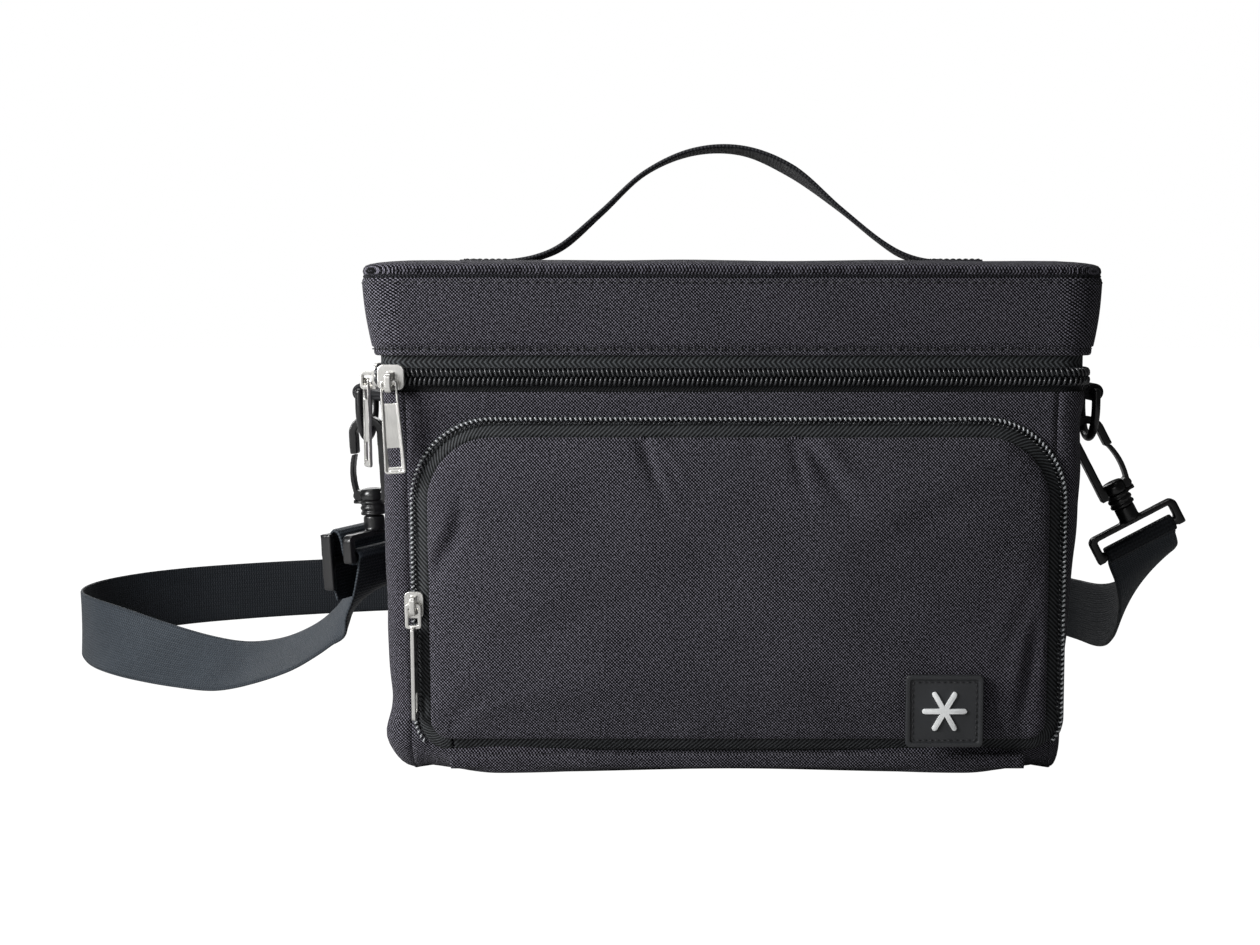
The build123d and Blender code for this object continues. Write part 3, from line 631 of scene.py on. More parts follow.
def merge(pieces):
    """One set of points and faces out of several."""
    verts, faces, start = [], [], 0
    for points, quads in pieces:
        verts.append(points)
        faces += [tuple(index + start for index in quad) for quad in quads]
        start += len(points)
    return np.concatenate(verts), faces


def directions(where, length, points, reach):
    """The way a line of points runs at the given lengths."""
    return unit(read_off(where + reach, length, points) - read_off(where - reach, length, points))


def stitches(name, line, outward, body, pitch=3.4, share=0.72, radius=0.27):
    """Row of separate stitches along a line; outward is the direction they stand up from the cloth."""
    line, length = np.asarray(line, float), run_of(line)
    where = np.arange(pitch / 2, length[-1], pitch)
    outward = np.asarray(outward, float)
    if outward.ndim == 2:
        outward = unit(read_off(where, length, outward))
    spaced = read_off(where, length, line)
    steps = np.array([-1.0, -0.8, 0.0, 0.8, 1.0])[:, None] * pitch * share / 2
    lift = np.array([-0.35, 0.05, 0.2, 0.05, -0.35])[:, None]
    thin = radius * np.array([0.5, 0.95, 1.0, 0.95, 0.5])
    pieces = [sweep(point + steps * way + lift * out, thin, 5, up=out) for point, way, out
              in zip(spaced, directions(where, length, line, 0.3), np.broadcast_to(outward, spaced.shape))]
    return finish_piece(mesh_object(name, *merge(pieces), THREAD), body)


def coil(name, line, outward, across, shape, pitch, radius, body, stands_for, phase=0.0, material=COIL):
    """One row of zip coil: the same bent strand repeated along a line.
    shape lists (along, across, out) points of one strand; outward and across are directions at each line point."""
    length = run_of(line)
    where = np.arange(pitch * (0.5 + phase), length[-1] - pitch * 0.3, pitch)
    spots, ways = read_off(where, length, line), directions(where, length, line, 0.4)
    outs, sides = unit(read_off(where, length, outward)), unit(read_off(where, length, across))
    shape = np.asarray(shape, float)
    taper = radius * np.interp(np.linspace(0, 1, len(shape)), [0, 0.15, 0.85, 1], [0.8, 1, 1, 0.8])
    pieces = []
    for spot, way, out, side in zip(spots, ways, outs, sides):
        path = spot + shape[:, :1] * way + shape[:, 1:2] * side + shape[:, 2:] * out
        pieces.append(sweep(path, taper, 6, up=way))
    return finish_piece(mesh_object(name, *merge(pieces), material), body, [stands_for])


# ---- lid: band, rolled edge, domed top
def lid_surface(name, profile, stands_for, sway, body, material, thick):
    """Fabric ring that follows the outline: profile lists (out, z) rows from below upwards."""
    grid, cloth = [], []
    for (out, z), run in zip(profile, run_of(np.array(profile))):
        grid.append(wall_points(LOOP, z, out + sway * ripple(LOOP, z, 52, 5.7)))
        cloth.append(cloth_place(LOOP, run))
    obj = mesh_object(name, grid, grid_faces(len(grid), len(LOOP), True), material, cloth)
    thicken(obj, thick)
    finish_piece(obj, body, [stands_for])


def band_profile():
    rows = [(1.0, 159.4), (1.4, 158.2), (2.4, LID_LOW + 0.05), (3.1, LID_LOW + 0.35), (3.4, 158.8), (3.45, 159.6),
            (3.3, 160.1), (3.5, 160.9)]
    for t in np.linspace(0.12, 0.93, 14):
        rows.append((BAND_LOW_OUT + 0.4 + (BAND_TOP_OUT - BAND_LOW_OUT) * t + 0.7 * math.sin(math.pi * t),
                     LID_LOW + (LID_SEAM - LID_LOW) * t))
    return rows + [(6.95, 185.6), (6.7, 186.2), (5.9, 186.6), (4.6, 186.7)]


lid_surface("lid_band_shell", band_profile(), "lid_band", 0.4, "lid", SHELL, CLOTH_T)


def lid_top():
    """Domed top panel: a rolled edge above the seam, then a nearly flat quilted crown."""
    profile = [(4.6, 187.1), (5.9, 187.2), (6.7, 187.7), (7.0, 188.7), (6.7, 189.9), (5.8, 190.9), (4.2, 191.5),
               (1.5, 192.0), (-3.0, 192.5), (-10.0, 193.0), (-20.0, 193.4), (-32.0, 193.7)]
    inner = -8.0
    sway = 0.27 * ripple(LOOP, 0.0, 40, 9.3)
    grid = []
    for index, (out, z) in enumerate(profile):
        ring = wall_points(LOOP, z + sway * min(1, index / 3), max(out, inner))
        share = max(inner - out, 0.0) / 60.0
        ring[:, :2] *= np.array([1 - share * 0.42, 1 - share * 0.72])
        grid.append(ring)
    for share in (0.8, 0.6, 0.4, 0.2, 0.03):
        ring = grid[len(profile) - 1].copy()
        ring[:, :2] *= share
        ring[:, 2] = 193.75 + 0.25 * (1 - share) + 0.3 * ripple(ring[:, 0], ring[:, 1], 38, 2.2)
        grid.append(ring)
    grid = np.array(grid)
    obj = mesh_object("lid_top_shell", grid, ring_faces(grid) + [end_face(grid)], SHELL,
                      cloth_place(grid[..., 0], grid[..., 1]))
    thicken(obj, CLOTH_T)
    finish_piece(obj, "lid", ["lid_top_panel"])


lid_top()


def lid_details():
    """Piping in the lid's top seam and the two rows of stitches on its band."""
    piping = mesh_object("lid_edge_piping", *sweep(wall_points(LOOP, 186.9, 6.1), 0.85, closed=True), BINDING)
    finish_piece(piping, "lid", ["lid_seam_piping"])
    closed = np.append(LOOP, S_END)
    out = wall_outward(closed)
    stitches("band_hem_stitches", wall_points(closed, 160.15, 3.75), out, "lid")
    stitches("band_top_stitches", wall_points(closed, 184.6, 7.15), out, "lid")


lid_details()


# ---- main zip
ZIP_LINE = np.linspace(-ZIP_S, ZIP_S, 900)


def zip_tape(name, low, high, out, body, stands_for, material):
    wavy = 0.12 * ripple(ZIP_LINE, 0.0, 30, 1.9)
    heights = np.linspace(low, high, 8)
    grid = [wall_points(ZIP_LINE, z, out + wavy + 0.1 * (k in (0, 7))) for k, z in enumerate(heights)]
    cloth = [cloth_place(z - low, ZIP_LINE) for z in heights]
    obj = mesh_object(name, grid, grid_faces(len(grid), len(ZIP_LINE)), material, cloth)
    thicken(obj, 0.5)
    finish_piece(obj, body, [stands_for])


# The lower tape wears the painted-shade copy of the tape colour.
zip_tape("lower_tape", 139.6, ZIP_Z - 0.3, 0.62, "bag_body", "lower_zip_tape", TAPE_PAINTED_SHADE)
zip_tape("upper_tape", ZIP_Z + 0.3, 159.2, 0.8, "lid", "upper_zip_tape", TAPE)


COIL_PITCH, COIL_THREAD_RISE = 1.8, 3.3


def main_coils():
    """Both rows of the main zip's coil, each sewn down beside the opening."""
    line = np.linspace(-ZIP_S + 2, ZIP_S - 2, 1200)
    out = wall_outward(line)
    base = wall_points(line, ZIP_Z, 0.2)
    strand = [(-0.38, 3.0, 0.9), (-0.42, 3.0, 1.7), (-0.36, 2.75, 2.45), (-0.18, 2.1, 2.9), (0.02, 1.35, 3.0),
              (0.22, 0.65, 2.9), (0.34, 0.25, 2.35), (0.36, 0.3, 1.4)]
    for row, body, way, phase in (("upper", "lid", 1, 0.0), ("lower", "bag_body", -1, 0.5)):
        shape = np.array(strand) * [1, way, 1]
        coil(row + "_coil", base, out, np.tile(UP, (len(line), 1)), shape, COIL_PITCH, 0.46, body, row + "_zip_coil",
             phase)
    for row, body, rise in (("upper", "lid", COIL_THREAD_RISE), ("lower", "bag_body", -COIL_THREAD_RISE)):
        stitches(row + "_coil_thread", wall_points(line, ZIP_Z + rise, 1.05), out, body, COIL_PITCH, 0.8, 0.22)


main_coils()


# ---- front pocket
POCKET_CX, POCKET_W = 2.4, 242.0
POCKET_LOW, POCKET_TOP = 8.6, 133.5
POCKET_R, POCKET_R_LOW = 30.0, 13.0
POCKET_EDGE = 5.7
FRONT_Y = -HALF_D


def pocket_line():
    """Pocket's zip line: points (x, z), inward directions and the way along, from the lower left corner upwards."""
    gap = 0.9
    x0, x1 = POCKET_CX - POCKET_W / 2, POCKET_CX + POCKET_W / 2
    corners = [(x0 + POCKET_R_LOW, POCKET_LOW + POCKET_R_LOW, POCKET_R_LOW, 270),
               (x0 + POCKET_R, POCKET_TOP - POCKET_R, POCKET_R, 180),
               (x1 - POCKET_R, POCKET_TOP - POCKET_R, POCKET_R, 90),
               (x1 - POCKET_R_LOW, POCKET_LOW + POCKET_R_LOW, POCKET_R_LOW, 0)]
    points, inward = [], []
    for (cx, cz, radius, start), (next_x, next_z, next_r, turn) in zip(corners, corners[1:] + corners[:1]):
        angles = np.radians(np.linspace(start, start - 90, max(int(radius * 1.571 / gap), 6)))
        arc = np.stack([cx + radius * np.cos(angles), cz + radius * np.sin(angles)], -1)
        points.append(arc)
        inward.append(-np.stack([np.cos(angles), np.sin(angles)], -1))
        turn = math.radians(turn)
        target = np.array([next_x + next_r * math.cos(turn), next_z + next_r * math.sin(turn)])
        steps = max(int(np.linalg.norm(target - arc[-1]) / gap), 2)
        share = np.linspace(0, 1, steps + 1)[1:-1, None]
        points.append(arc[-1] + (target - arc[-1]) * share)
        inward.append(np.repeat(inward[-1][-1:], steps - 1, 0))
    points, inward = np.concatenate(points), np.concatenate(inward)
    return points, inward, run_of(points)


LINE, INWARD, LINE_S = pocket_line()
OPEN = LINE[:, 1] > POCKET_LOW + 4


def front_points(flat, out):
    """Points in front of the body's front face: flat holds (x, z), out the stand-out."""
    return np.stack([flat[..., 0], FRONT_Y - out + 0 * flat[..., 0], flat[..., 1]], -1)


CREASES = [(-31, 121, -70, 15, 2.6, 1.9), (-24, 118, -60, 9, 2.0, 1.0), (33, 117.5, -52, 17, 3.0, 2.2),
           (24, 119, -75, 12, 2.4, 1.1), (-106, 85, 62, 13, 3.0, 1.6), (-101, 96, 80, 10, 2.6, 0.9),
           (111, 42, 82, 20, 2.6, 1.7), (108, 62, 70, 16, 3.0, 0.9), (-60, 60, 20, 34, 7.0, 0.8),
           (40, 74, -12, 46, 8.0, 0.9), (-104, 22, 40, 15, 4.0, 1.0), (70, 96, 30, 30, 6.0, 0.7)]


def pocket_height(flat, edge):
    """Stand-out of the pocket panel at (x, z), edge being the way in from the panel's rim."""
    x, z = flat[..., 0], flat[..., 1]
    out = 5.2 + 1.5 * (1 - np.exp(-edge / 1.3)) + 5.0 * (1 - np.exp(-edge / 17.0))
    out = out - 1.6 * (1 - step(z, 14, 40)) * (1 - np.exp(-edge / 9.0))
    out = out + (1 - np.exp(-edge / 14.0)) * (1.1 * ripple(x, z, 58, 4.4) + 0.35 * ripple(x, z, 21, 7.9))
    for cx, cz, angle, length, width, depth in CREASES:
        turn = math.radians(angle)
        along = (x - cx) * math.cos(turn) + (z - cz) * math.sin(turn)
        across = -(x - cx) * math.sin(turn) + (z - cz) * math.cos(turn)
        groove = hump(across, 0, width) - 0.55 * hump(across, 1.9 * width, 1.3 * width)
        out = out - depth * groove * hump(along, 0, length)
    return out


def gather(length, edge):
    """Small gathers where the panel is eased into its seam."""
    wave = 0.5 * np.sin(length / 7.3 + 1.4 * np.sin(length / 31.0))
    wave = wave + 0.25 * np.sin(length / 3.1 + 2.0 * np.sin(length / 19.0))
    return wave * hump(edge, 3.5, 4.5) * 0.55


def pocket_panel():
    """Front panel: tucked edge at its seam, a gathered rim, then a soft creased face closed at the middle."""
    middle = np.array([POCKET_CX, 60.0])
    rim = LINE + INWARD * POCKET_EDGE
    straight = 7.0
    grid = [front_points(rim + INWARD * 0.9, 4.0), front_points(rim + INWARD * 0.25, 4.4)]
    for inset in np.concatenate([[0.0, 0.3, 0.8, 1.5], np.linspace(2.4, 12, 9)]):
        flat = LINE + INWARD * (POCKET_EDGE + min(inset, straight))
        flat = flat + (middle - flat) * (max(inset - straight, 0.0) / 90.0)
        out = pocket_height(flat, inset + 0 * LINE_S) + gather(LINE_S, inset)
        grid.append(front_points(flat, out - 0.1 * (inset == 0)))
    start = flat
    for share in np.linspace(0, 1, 44)[1:-1]:
        flat = start + (middle - start) * share
        depth = 12.0 + share * np.linalg.norm(start - middle, axis=1)
        grid.append(front_points(flat, pocket_height(flat, depth)))
    grid = np.array(grid)
    faces = ring_faces(grid) + [end_face(grid)]
    front_sheet("pocket_panel_cloth", grid, faces, SHELL, cloth_place(grid[..., 0], grid[..., 2]), CLOTH_T,
                "pocket_flap", "pocket_panel")


def front_sheet(name, grid, faces, material, cloth, thickness, body, stands_for):
    """Sheet that faces the front of the bag."""
    obj = mesh_object(name, grid, faces, material, cloth)
    if sum(polygon.normal.y * polygon.area for polygon in obj.data.polygons) > 0:
        obj.data.flip_normals()
    thicken(obj, thickness)
    finish_piece(obj, body, [stands_for])


def ring_sheet(name, profile, material, body, stands_for, thickness, keep, ease):
    """Strip along the pocket's zip line; profile lists (inset, stand-out) rows."""
    flat, inward, way = LINE[keep], INWARD[keep], LINE_S[keep]
    grid, cloth = [], []
    for (inset, out), run in zip(profile, run_of(np.array(profile))):
        grid.append(front_points(flat + inward * inset, out + ease * gather(way, inset - POCKET_EDGE + 2)))
        cloth.append(cloth_place(run, way))
    front_sheet(name, grid, grid_faces(len(grid), len(way)), material, cloth, thickness, body, stands_for)


def pocket_zip():
    outer = [(-1.9, 0.15), (-1.5, 0.55), (-0.6, 0.6), (-0.15, 0.6)]
    ring_sheet("pocket_tape_outer", outer, TAPE, "bag_body", "pocket_outer_tape", 0.4, OPEN, 0.0)
    gusset = [(0.3, 0.75), (0.9, 0.95), (1.3, 1.5), (1.8, 1.75), (2.6, 2.1), (3.4, 2.6), (4.1, 2.9), (4.7, 3.1),
              (5.3, 3.0), (6.0, 2.8), (6.7, 2.7)]
    whole = np.ones(len(LINE), bool)
    ring_sheet("pocket_gusset_tape", gusset, GUSSET, "pocket_flap", "pocket_gusset", 0.45, whole, 1.0)
    straight = LINE[:, 1] > POCKET_LOW + POCKET_R_LOW
    bead = np.array([(-0.3, -0.5, 0.1), (-0.35, -0.5, 0.9), (-0.1, -0.3, 1.45), (0.15, 0.15, 1.5), (0.3, 0.4, 0.95),
                     (0.3, 0.4, 0.3)])
    # The outer row wears the painted-highlight bead colour; the inner row keeps the plain dark coil colour.
    for row, keep, inset, out, body, lean, radius, phase, material in (
            ("outer", OPEN, -0.72, 0.55, "bag_body", 1.0, 0.38, 0.0, BEAD_GLINT),
            ("inner", straight, 0.62, 0.9, "pocket_flap", -1.0, 0.3, 0.5, COIL)):
        line = front_points(LINE[keep] + INWARD[keep] * inset, out)
        across = INWARD[keep] @ np.array([[1.0, 0, 0], [0, 0, 1.0]])
        coil("pocket_coil_" + row, line, np.tile(TO_FRONT, (len(line), 1)), across, bead * [1, lean, 1], 1.85,
             radius, body, f"pocket_{row}_coil", phase, material)


GUSSET = herringbone("gusset_tape", (0.0012, 0.0014, 0.0016), (0.075, 0.080, 0.085), 6.5, 1.7)
pocket_panel()
pocket_zip()


def pocket_hem():
    """Rolled hem that the pocket's panel hangs from, below."""
    x = np.linspace(-106, 110, 140)
    hem = []
    for z, out in ((2.4, 3.0), (3.2, 3.9), (4.6, 4.3), (6.2, 4.5), (7.4, 4.4), (8.2, 3.8)):
        wave = 0.3 * ripple(x, z, 24, 6.6) - 0.88 * (1 - step(np.abs(x - 2), 20, 70))
        hem.append(np.stack([x, FRONT_Y - out - wave, z + 0 * x], -1))
    hem = np.array(hem)
    front_sheet("pocket_hem_cloth", hem, grid_faces(*hem.shape[:2]), SHELL, cloth_place(hem[..., 0], hem[..., 2]),
                0.6, "bag_body", "pocket_hem")


pocket_hem()


# ---- rubber patch
def patch():
    """Moulded pad with a raised rim, sewn on inside it."""
    low, high = box_mm("rubber_patch")
    back = -high[1]

    def rounded_ring(inset, radius, out):
        (x0, z0), (x1, z1) = low[[0, 2]] + inset + radius, high[[0, 2]] - inset - radius
        points = []
        for cx, cz, start in ((x1, z1, 0), (x0, z1, 90), (x0, z0, 180), (x1, z0, 270)):
            for angle in np.radians(np.linspace(start, start + 90, 7)):
                points.append((cx + radius * math.cos(angle), -out, cz + radius * math.sin(angle)))
        return np.array(points)

    levels = [(0.35, back - 0.6), (0.0, back + 0.2), (0.0, back + 1.6), (0.25, back + 1.95), (0.9, back + 2.05),
              (1.5, back + 1.9), (1.75, back + 1.5), (1.85, back + 1.2), (3.4, back + 1.2)]
    grid = np.array([rounded_ring(inset, max(1.7 - inset * 0.4, 0.5), out) for inset, out in levels])
    obj = mesh_object("patch_pad", grid, ring_faces(grid) + [end_face(grid), start_face(grid)], RUBBER)
    bevel_normals(obj)
    finish_piece(obj, "pocket_flap", ["rubber_patch"])
    seam = rounded_ring(2.6, 1.0, back + 1.3)
    stitches("patch_stitches", np.vstack([seam, seam[:1]]), TO_FRONT, "pocket_flap", 2.3, 0.7, 0.2)


def bevel_normals(obj):
    """Keeps crisp edges crisp under smooth shading."""
    with bpy.context.temp_override(active_object=obj, object=obj, selected_objects=[obj],
                                   selected_editable_objects=[obj]):
        bpy.ops.object.shade_smooth_by_angle(angle=math.radians(35))


def emblem():
    """Six-armed star with rounded tips, raised from the patch."""
    low, high = box_mm("patch_emblem")
    centre = (low + high) / 2
    reach, half, out = (high[0] - low[0]) / 2 - 0.2, 0.95, -low[1]
    star = []
    for arm in range(6):
        angle, valley = math.radians(60 * arm), math.radians(60 * arm + 30)
        along, across = np.array([math.cos(angle), math.sin(angle)]), np.array([-math.sin(angle), math.cos(angle)])
        for tip in np.radians(np.linspace(-90, 90, 7)):
            star.append(along * (reach - half + half * math.cos(tip)) + across * half * math.sin(tip))
        star.append(np.array([math.cos(valley), math.sin(valley)]) * half * 2.0)
    x, z = np.array(star).T
    levels = ((1.0, out - 0.85), (1.0, out - 0.25), (0.985, out - 0.08), (0.955, out))
    grid = np.array([np.stack([centre[0] + x * shrink, 0 * x - stand, centre[2] + z * shrink], -1)
                     for shrink, stand in levels])
    last, middle = end_face(grid), grid.shape[0] * grid.shape[1]
    faces = ring_faces(grid) + [(a, b, middle) for a, b in zip(last, last[1:] + last[:1])] + [start_face(grid)]
    verts = np.vstack([grid.reshape(-1, 3), [[centre[0], -out, centre[2]]]])
    obj = mesh_object("patch_star", verts, faces, WHITE)
    bevel_normals(obj)
    finish_piece(obj, "pocket_flap", ["patch_emblem"])


patch()
emblem()


# ---- webbing
def through(points, gap):
    """Smooth line through points (rows of any width), evenly stepped; the first three columns are the place."""
    points = np.asarray(points, float)
    padded = np.vstack([2 * points[0] - points[1], points, 2 * points[-1] - points[-2]])
    knots = np.concatenate([[0], np.cumsum(np.sqrt(np.linalg.norm(np.diff(padded[:, :3], axis=0), axis=1)))])

    def between(p, q, t_p, t_q):
        return (t_q - t) / (t_q - t_p) * p + (t - t_p) / (t_q - t_p) * q

    pieces = []
    for i in range(1, len(padded) - 2):
        t0, t1, t2, t3 = knots[i - 1:i + 3]
        t = np.linspace(t1, t2, 41)[:, None]
        p0, p1, p2, p3 = padded[i - 1:i + 3]
        a1, a2, a3 = between(p0, p1, t0, t1), between(p1, p2, t1, t2), between(p2, p3, t2, t3)
        curve = between(between(a1, a2, t0, t2), between(a2, a3, t1, t3), t1, t2)
        pieces.append(curve if i == len(padded) - 3 else curve[:-1])
    curve = np.concatenate(pieces)
    length = run_of(curve[:, :3])
    where = np.linspace(0, length[-1], max(int(length[-1] / gap), 4) + 1)
    return read_off(where, length, curve), where


def ribbon(name, middles, widths, width, thick, material, way, cup=0.0, wave=0.0):
    """Webbing through points, lying along the width directions, with its weave coordinates."""
    middles, widths = np.asarray(middles, float), unit(np.asarray(widths, float))
    along = unit(np.gradient(middles, axis=0))
    widths = unit(widths - along * np.sum(widths * along, -1, keepdims=True))
    normal = np.cross(along, widths)
    half, t = width / 2, thick / 2
    section = [(-half, 0.0), (-half + 0.15, 0.62 * t), (-half + 0.7, 0.95 * t)]
    section += [(x, t) for x in np.linspace(-half + 2.2, half - 2.2, 7)]
    section += [(half - 0.7, 0.95 * t), (half - 0.15, 0.62 * t), (half, 0.0)]
    section += [(-x, -y) for x, y in section[1:-1]]
    section = np.array(section)
    bow = cup * (1 - (section[:, 0] / half) ** 2)
    lift = wave * np.array([noise.noise(Vector((s / 37.0, width, 2.0))) for s in way])
    grid = (middles[:, None] + widths[:, None] * section[None, :, :1]
            + normal[:, None] * (section[None, :, 1:2] + bow[None, :, None] + lift[:, None, None]))
    cloth = np.stack(np.broadcast_arrays(section[:, 0], way[:, None], np.sign(section[:, 1])), -1)
    obj = mesh_object(name, grid, ring_faces(grid) + [start_face(grid), end_face(grid)], material, cloth)
    with_volume_outwards(obj)
    return obj


def with_volume_outwards(obj):
    """Faces of a closed mesh look outwards."""
    if sum(face.center.dot(face.normal) * face.area for face in obj.data.polygons) < 0:
        obj.data.flip_normals()


# ---- carry handle
GRIP_W, GRIP_T = 25.0, 1.6
GRIP_REST = 194.9         # middle of the webbing where it is sewn flat on the lid
GRIP_LINE = [(-112, GRIP_REST, 0), (-101, 194.95, 0), (-91, 195.2, 0), (-80, 197.4, 0.5), (-71, 201.5, 1),
             (-54.5, 215.5, 3), (-36, 232, 4), (-16, 240.5, 1.5), (4, 241, -1), (24, 233, -4), (45, 217, 3),
             (62, 203.5, 3), (71, 198, 1), (80, 195.3, 0), (92, 194.95, 0), (103, GRIP_REST, 0)]


def carry_handle():
    stations, way = through([(x, 0, z, tilt) for x, z, tilt in GRIP_LINE], 1.6)
    tilt = np.radians(stations[:, 3])
    along = unit(np.gradient(stations[:, :3], axis=0))
    up = np.cross(along, np.array([0.0, 1.0, 0.0]))
    up = np.where(up[:, 2:] < 0, -up, up)
    widths = np.array([0.0, 1.0, 0.0]) * np.cos(tilt)[:, None] + up * np.sin(tilt)[:, None]
    obj = ribbon("handle_ribbon", stations[:, :3], widths, GRIP_W, GRIP_T, GRIP, way)
    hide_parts("carry_handle", "handle_end_left", "handle_end_right")
    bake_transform(obj)
    top = GRIP_REST + GRIP_T / 2 + 0.02
    for side, x0, x1 in (("left", -110.5, -93.5), ("right", 82.0, 101.5)):
        y = GRIP_W / 2 - 2.2
        box = [(x0, -y), (x1, -y), (x1, y), (x0, y), (x0, -y), (x1, y)]
        dense = np.concatenate([np.linspace(a, b, 20) for a, b in zip(box[:-1], box[1:])])
        line = np.column_stack([dense, top + 0 * dense[:, 0]])
        stitches("handle_stitches_" + side, line, UP, "lid", 2.6, 0.75, 0.25)


carry_handle()


# ---- hooks' own directions
RING_C, RING_R = 136.0, 14.3
SWIVEL_BAR = -18.2        # along each hook, from its swivel to the bar that holds the webbing
HOOK_REACH = 31.0         # from the swivel to the inside of the hook's bend
WEB_W, WEB_T = 32.0, 1.5


class HookFrame:
    """Place of one hook: origin at its swivel, along towards the bend, turn of its swivel frame."""

    def __init__(self, x, slant, turn):
        side = math.copysign(1, x)
        lean = math.radians(slant) * side
        self.along = np.array([-math.sin(lean), 0, math.cos(lean)])
        self.across = np.array([side * math.cos(lean), 0, side * math.sin(lean)])
        self.deep = np.cross(self.along, self.across)
        self.origin = np.array([x, 0, RING_C - RING_R]) - self.along * HOOK_REACH
        self.turn = math.radians(turn)

    def hook_point(self, across, deep, along):
        return self.origin + self.across * across + self.deep * deep + self.along * along

    def frame_direction(self, across, out, along=0.0):
        c, s = math.cos(self.turn), math.sin(self.turn)
        return self.across * (across * c - out * s) + self.deep * (across * s + out * c) + self.along * along

    def frame_point(self, across, out, along):
        return self.origin + self.frame_direction(across, out, along)


LEFT = HookFrame(-154.0, -3.0, 67.0)
RIGHT = HookFrame(150.5, 28.0, 0.0)
LEFT_WIDTH = -LEFT.frame_direction(1, 0)
RIGHT_WIDTH = RIGHT.across

# Places of the webbing from the left hook round behind the bag to the right one, each with its width direction.
STRAP_RUN = [
    ((-163.0, 6, 50.0), (-0.30, 0.93, 0.20)), ((-170.0, 13, 42.5), (-0.20, 0.94, 0.28)),
    ((-180.0, 22, 33.5), (-0.05, 0.93, 0.36)), ((-194.0, 33, 24.0), (0.08, 0.90, 0.42)),
    ((-212.0, 45, 16.0), (0.20, 0.86, 0.47)), ((-232.0, 57, 11.0), (0.28, 0.79, 0.55)),
    ((-254.0, 68, 10.8), (0.36, 0.70, 0.61)), ((-278.0, 80, 13.0), (0.38, 0.55, 0.74)),
    ((-301.0, 96, 15.2), (0.30, 0.35, 0.89)), ((-321.0, 116, 16.4), (0.12, 0.10, 0.98)),
    ((-334.5, 140, 16.4), (0, 0, 1)), ((-337.5, 166, 16.4), (0, 0, 1)),
    ((-328.0, 192, 16.4), (0, 0, 1)), ((-307.0, 215, 16.4), (0, 0, 1)),
    ((-276.0, 233, 16.4), (0, 0, 1)), ((-241.0, 247, 16.4), (0, 0, 1)),
    ((-204.0, 258, 16.4), (0, 0, 1)), ((-150.0, 267, 16.4), (0, 0, 1)),
    ((-85.0, 271, 16.4), (0, 0, 1)), ((-20.0, 272, 16.4), (0, 0, 1)),
    ((45.0, 268, 16.4), (0, 0, 1)), ((98.0, 257, 16.4), (0, 0, 1)),
    ((140.0, 238, 16.4), (0, 0, 1)), ((169.0, 210, 16.4), (0, 0, 1)),
    ((184.0, 172, 16.8), (0.02, 0, 1)), ((188.0, 132, 21.0), (0.10, 0.02, 1)),
    ((188.0, 95, 31.0), (0.25, 0.05, 0.97)), ((186.5, 62, 44.0), (0.45, 0.02, 0.90)),
    ((184.0, 34, 56.0), (0.65, -0.05, 0.76)), ((180.0, 14, 66.0), (0.80, -0.08, 0.60)),
    ((175.5, 4.5, 74.0), (0.88, 0, 0.47))]
TAIL_LINE = [(2.4, -21.0), (4.6, -18.6), (5.6, -15.5), (6.2, -11.0), (7.8, -7.6), (10.0, -7.2), (11.5, -10.4),
             (11.6, -16.0), (11.5, -22.0), (11.5, -29.0), (10.9, -33.0), (10.0, -36.5)]


def shoulder_strap():
    """The strap's one length of webbing, from the fold in the left swivel frame to the fold in the right one."""
    stations = [(LEFT.frame_point(0, 2.85, SWIVEL_BAR), LEFT_WIDTH),
                (LEFT.frame_point(0, 2.1, SWIVEL_BAR - 3.4), LEFT_WIDTH),
                (LEFT.frame_point(0, -1.0, -32.0), LEFT_WIDTH)] + STRAP_RUN
    stations += [(RIGHT.frame_point(0, 2.4, SWIVEL_BAR - 3.0), RIGHT_WIDTH),
                 (RIGHT.frame_point(0, 2.85, SWIVEL_BAR), RIGHT_WIDTH)]
    line, way = through([np.concatenate([middle, unit(np.array(across))]) for middle, across in stations], 2.2)
    obj = ribbon("strap_ribbon", line[:, :3], line[:, 3:6], WEB_W, WEB_T, STRAP, way, 0.35, 0.5)
    finish_piece(obj, "strap", ["shoulder_strap", "shoulder_strap_right"])
    return obj, way[-1]


def bar_folds():
    """Webbing folded back round both frames' bars, and the adjusting tail with its sewn end."""
    angles = np.radians(np.linspace(-75, 255, 34))
    radius = 2.1 + WEB_T / 2
    for side, frame_of, width_direction in (("left", LEFT, LEFT_WIDTH), ("right", RIGHT, RIGHT_WIDTH)):
        points = [frame_of.frame_point(0, radius * math.cos(a), SWIVEL_BAR + radius * math.sin(a)) for a in angles]
        way = radius * (angles - angles[0])
        obj = ribbon("strap_fold_" + side, points, [width_direction] * len(points), WEB_W - 0.2, WEB_T, STRAP, way)
        finish_piece(obj, "strap")
    line, way = through([LEFT.frame_point(0, -out, along) for out, along in TAIL_LINE], 1.2)
    obj = ribbon("strap_tail", line, [LEFT_WIDTH] * len(line), WEB_W, WEB_T, STRAP, way)
    finish_piece(obj, "strap", ["strap_adjusting_tail"])


strap_object, STRAP_LENGTH = shoulder_strap()
bar_folds()


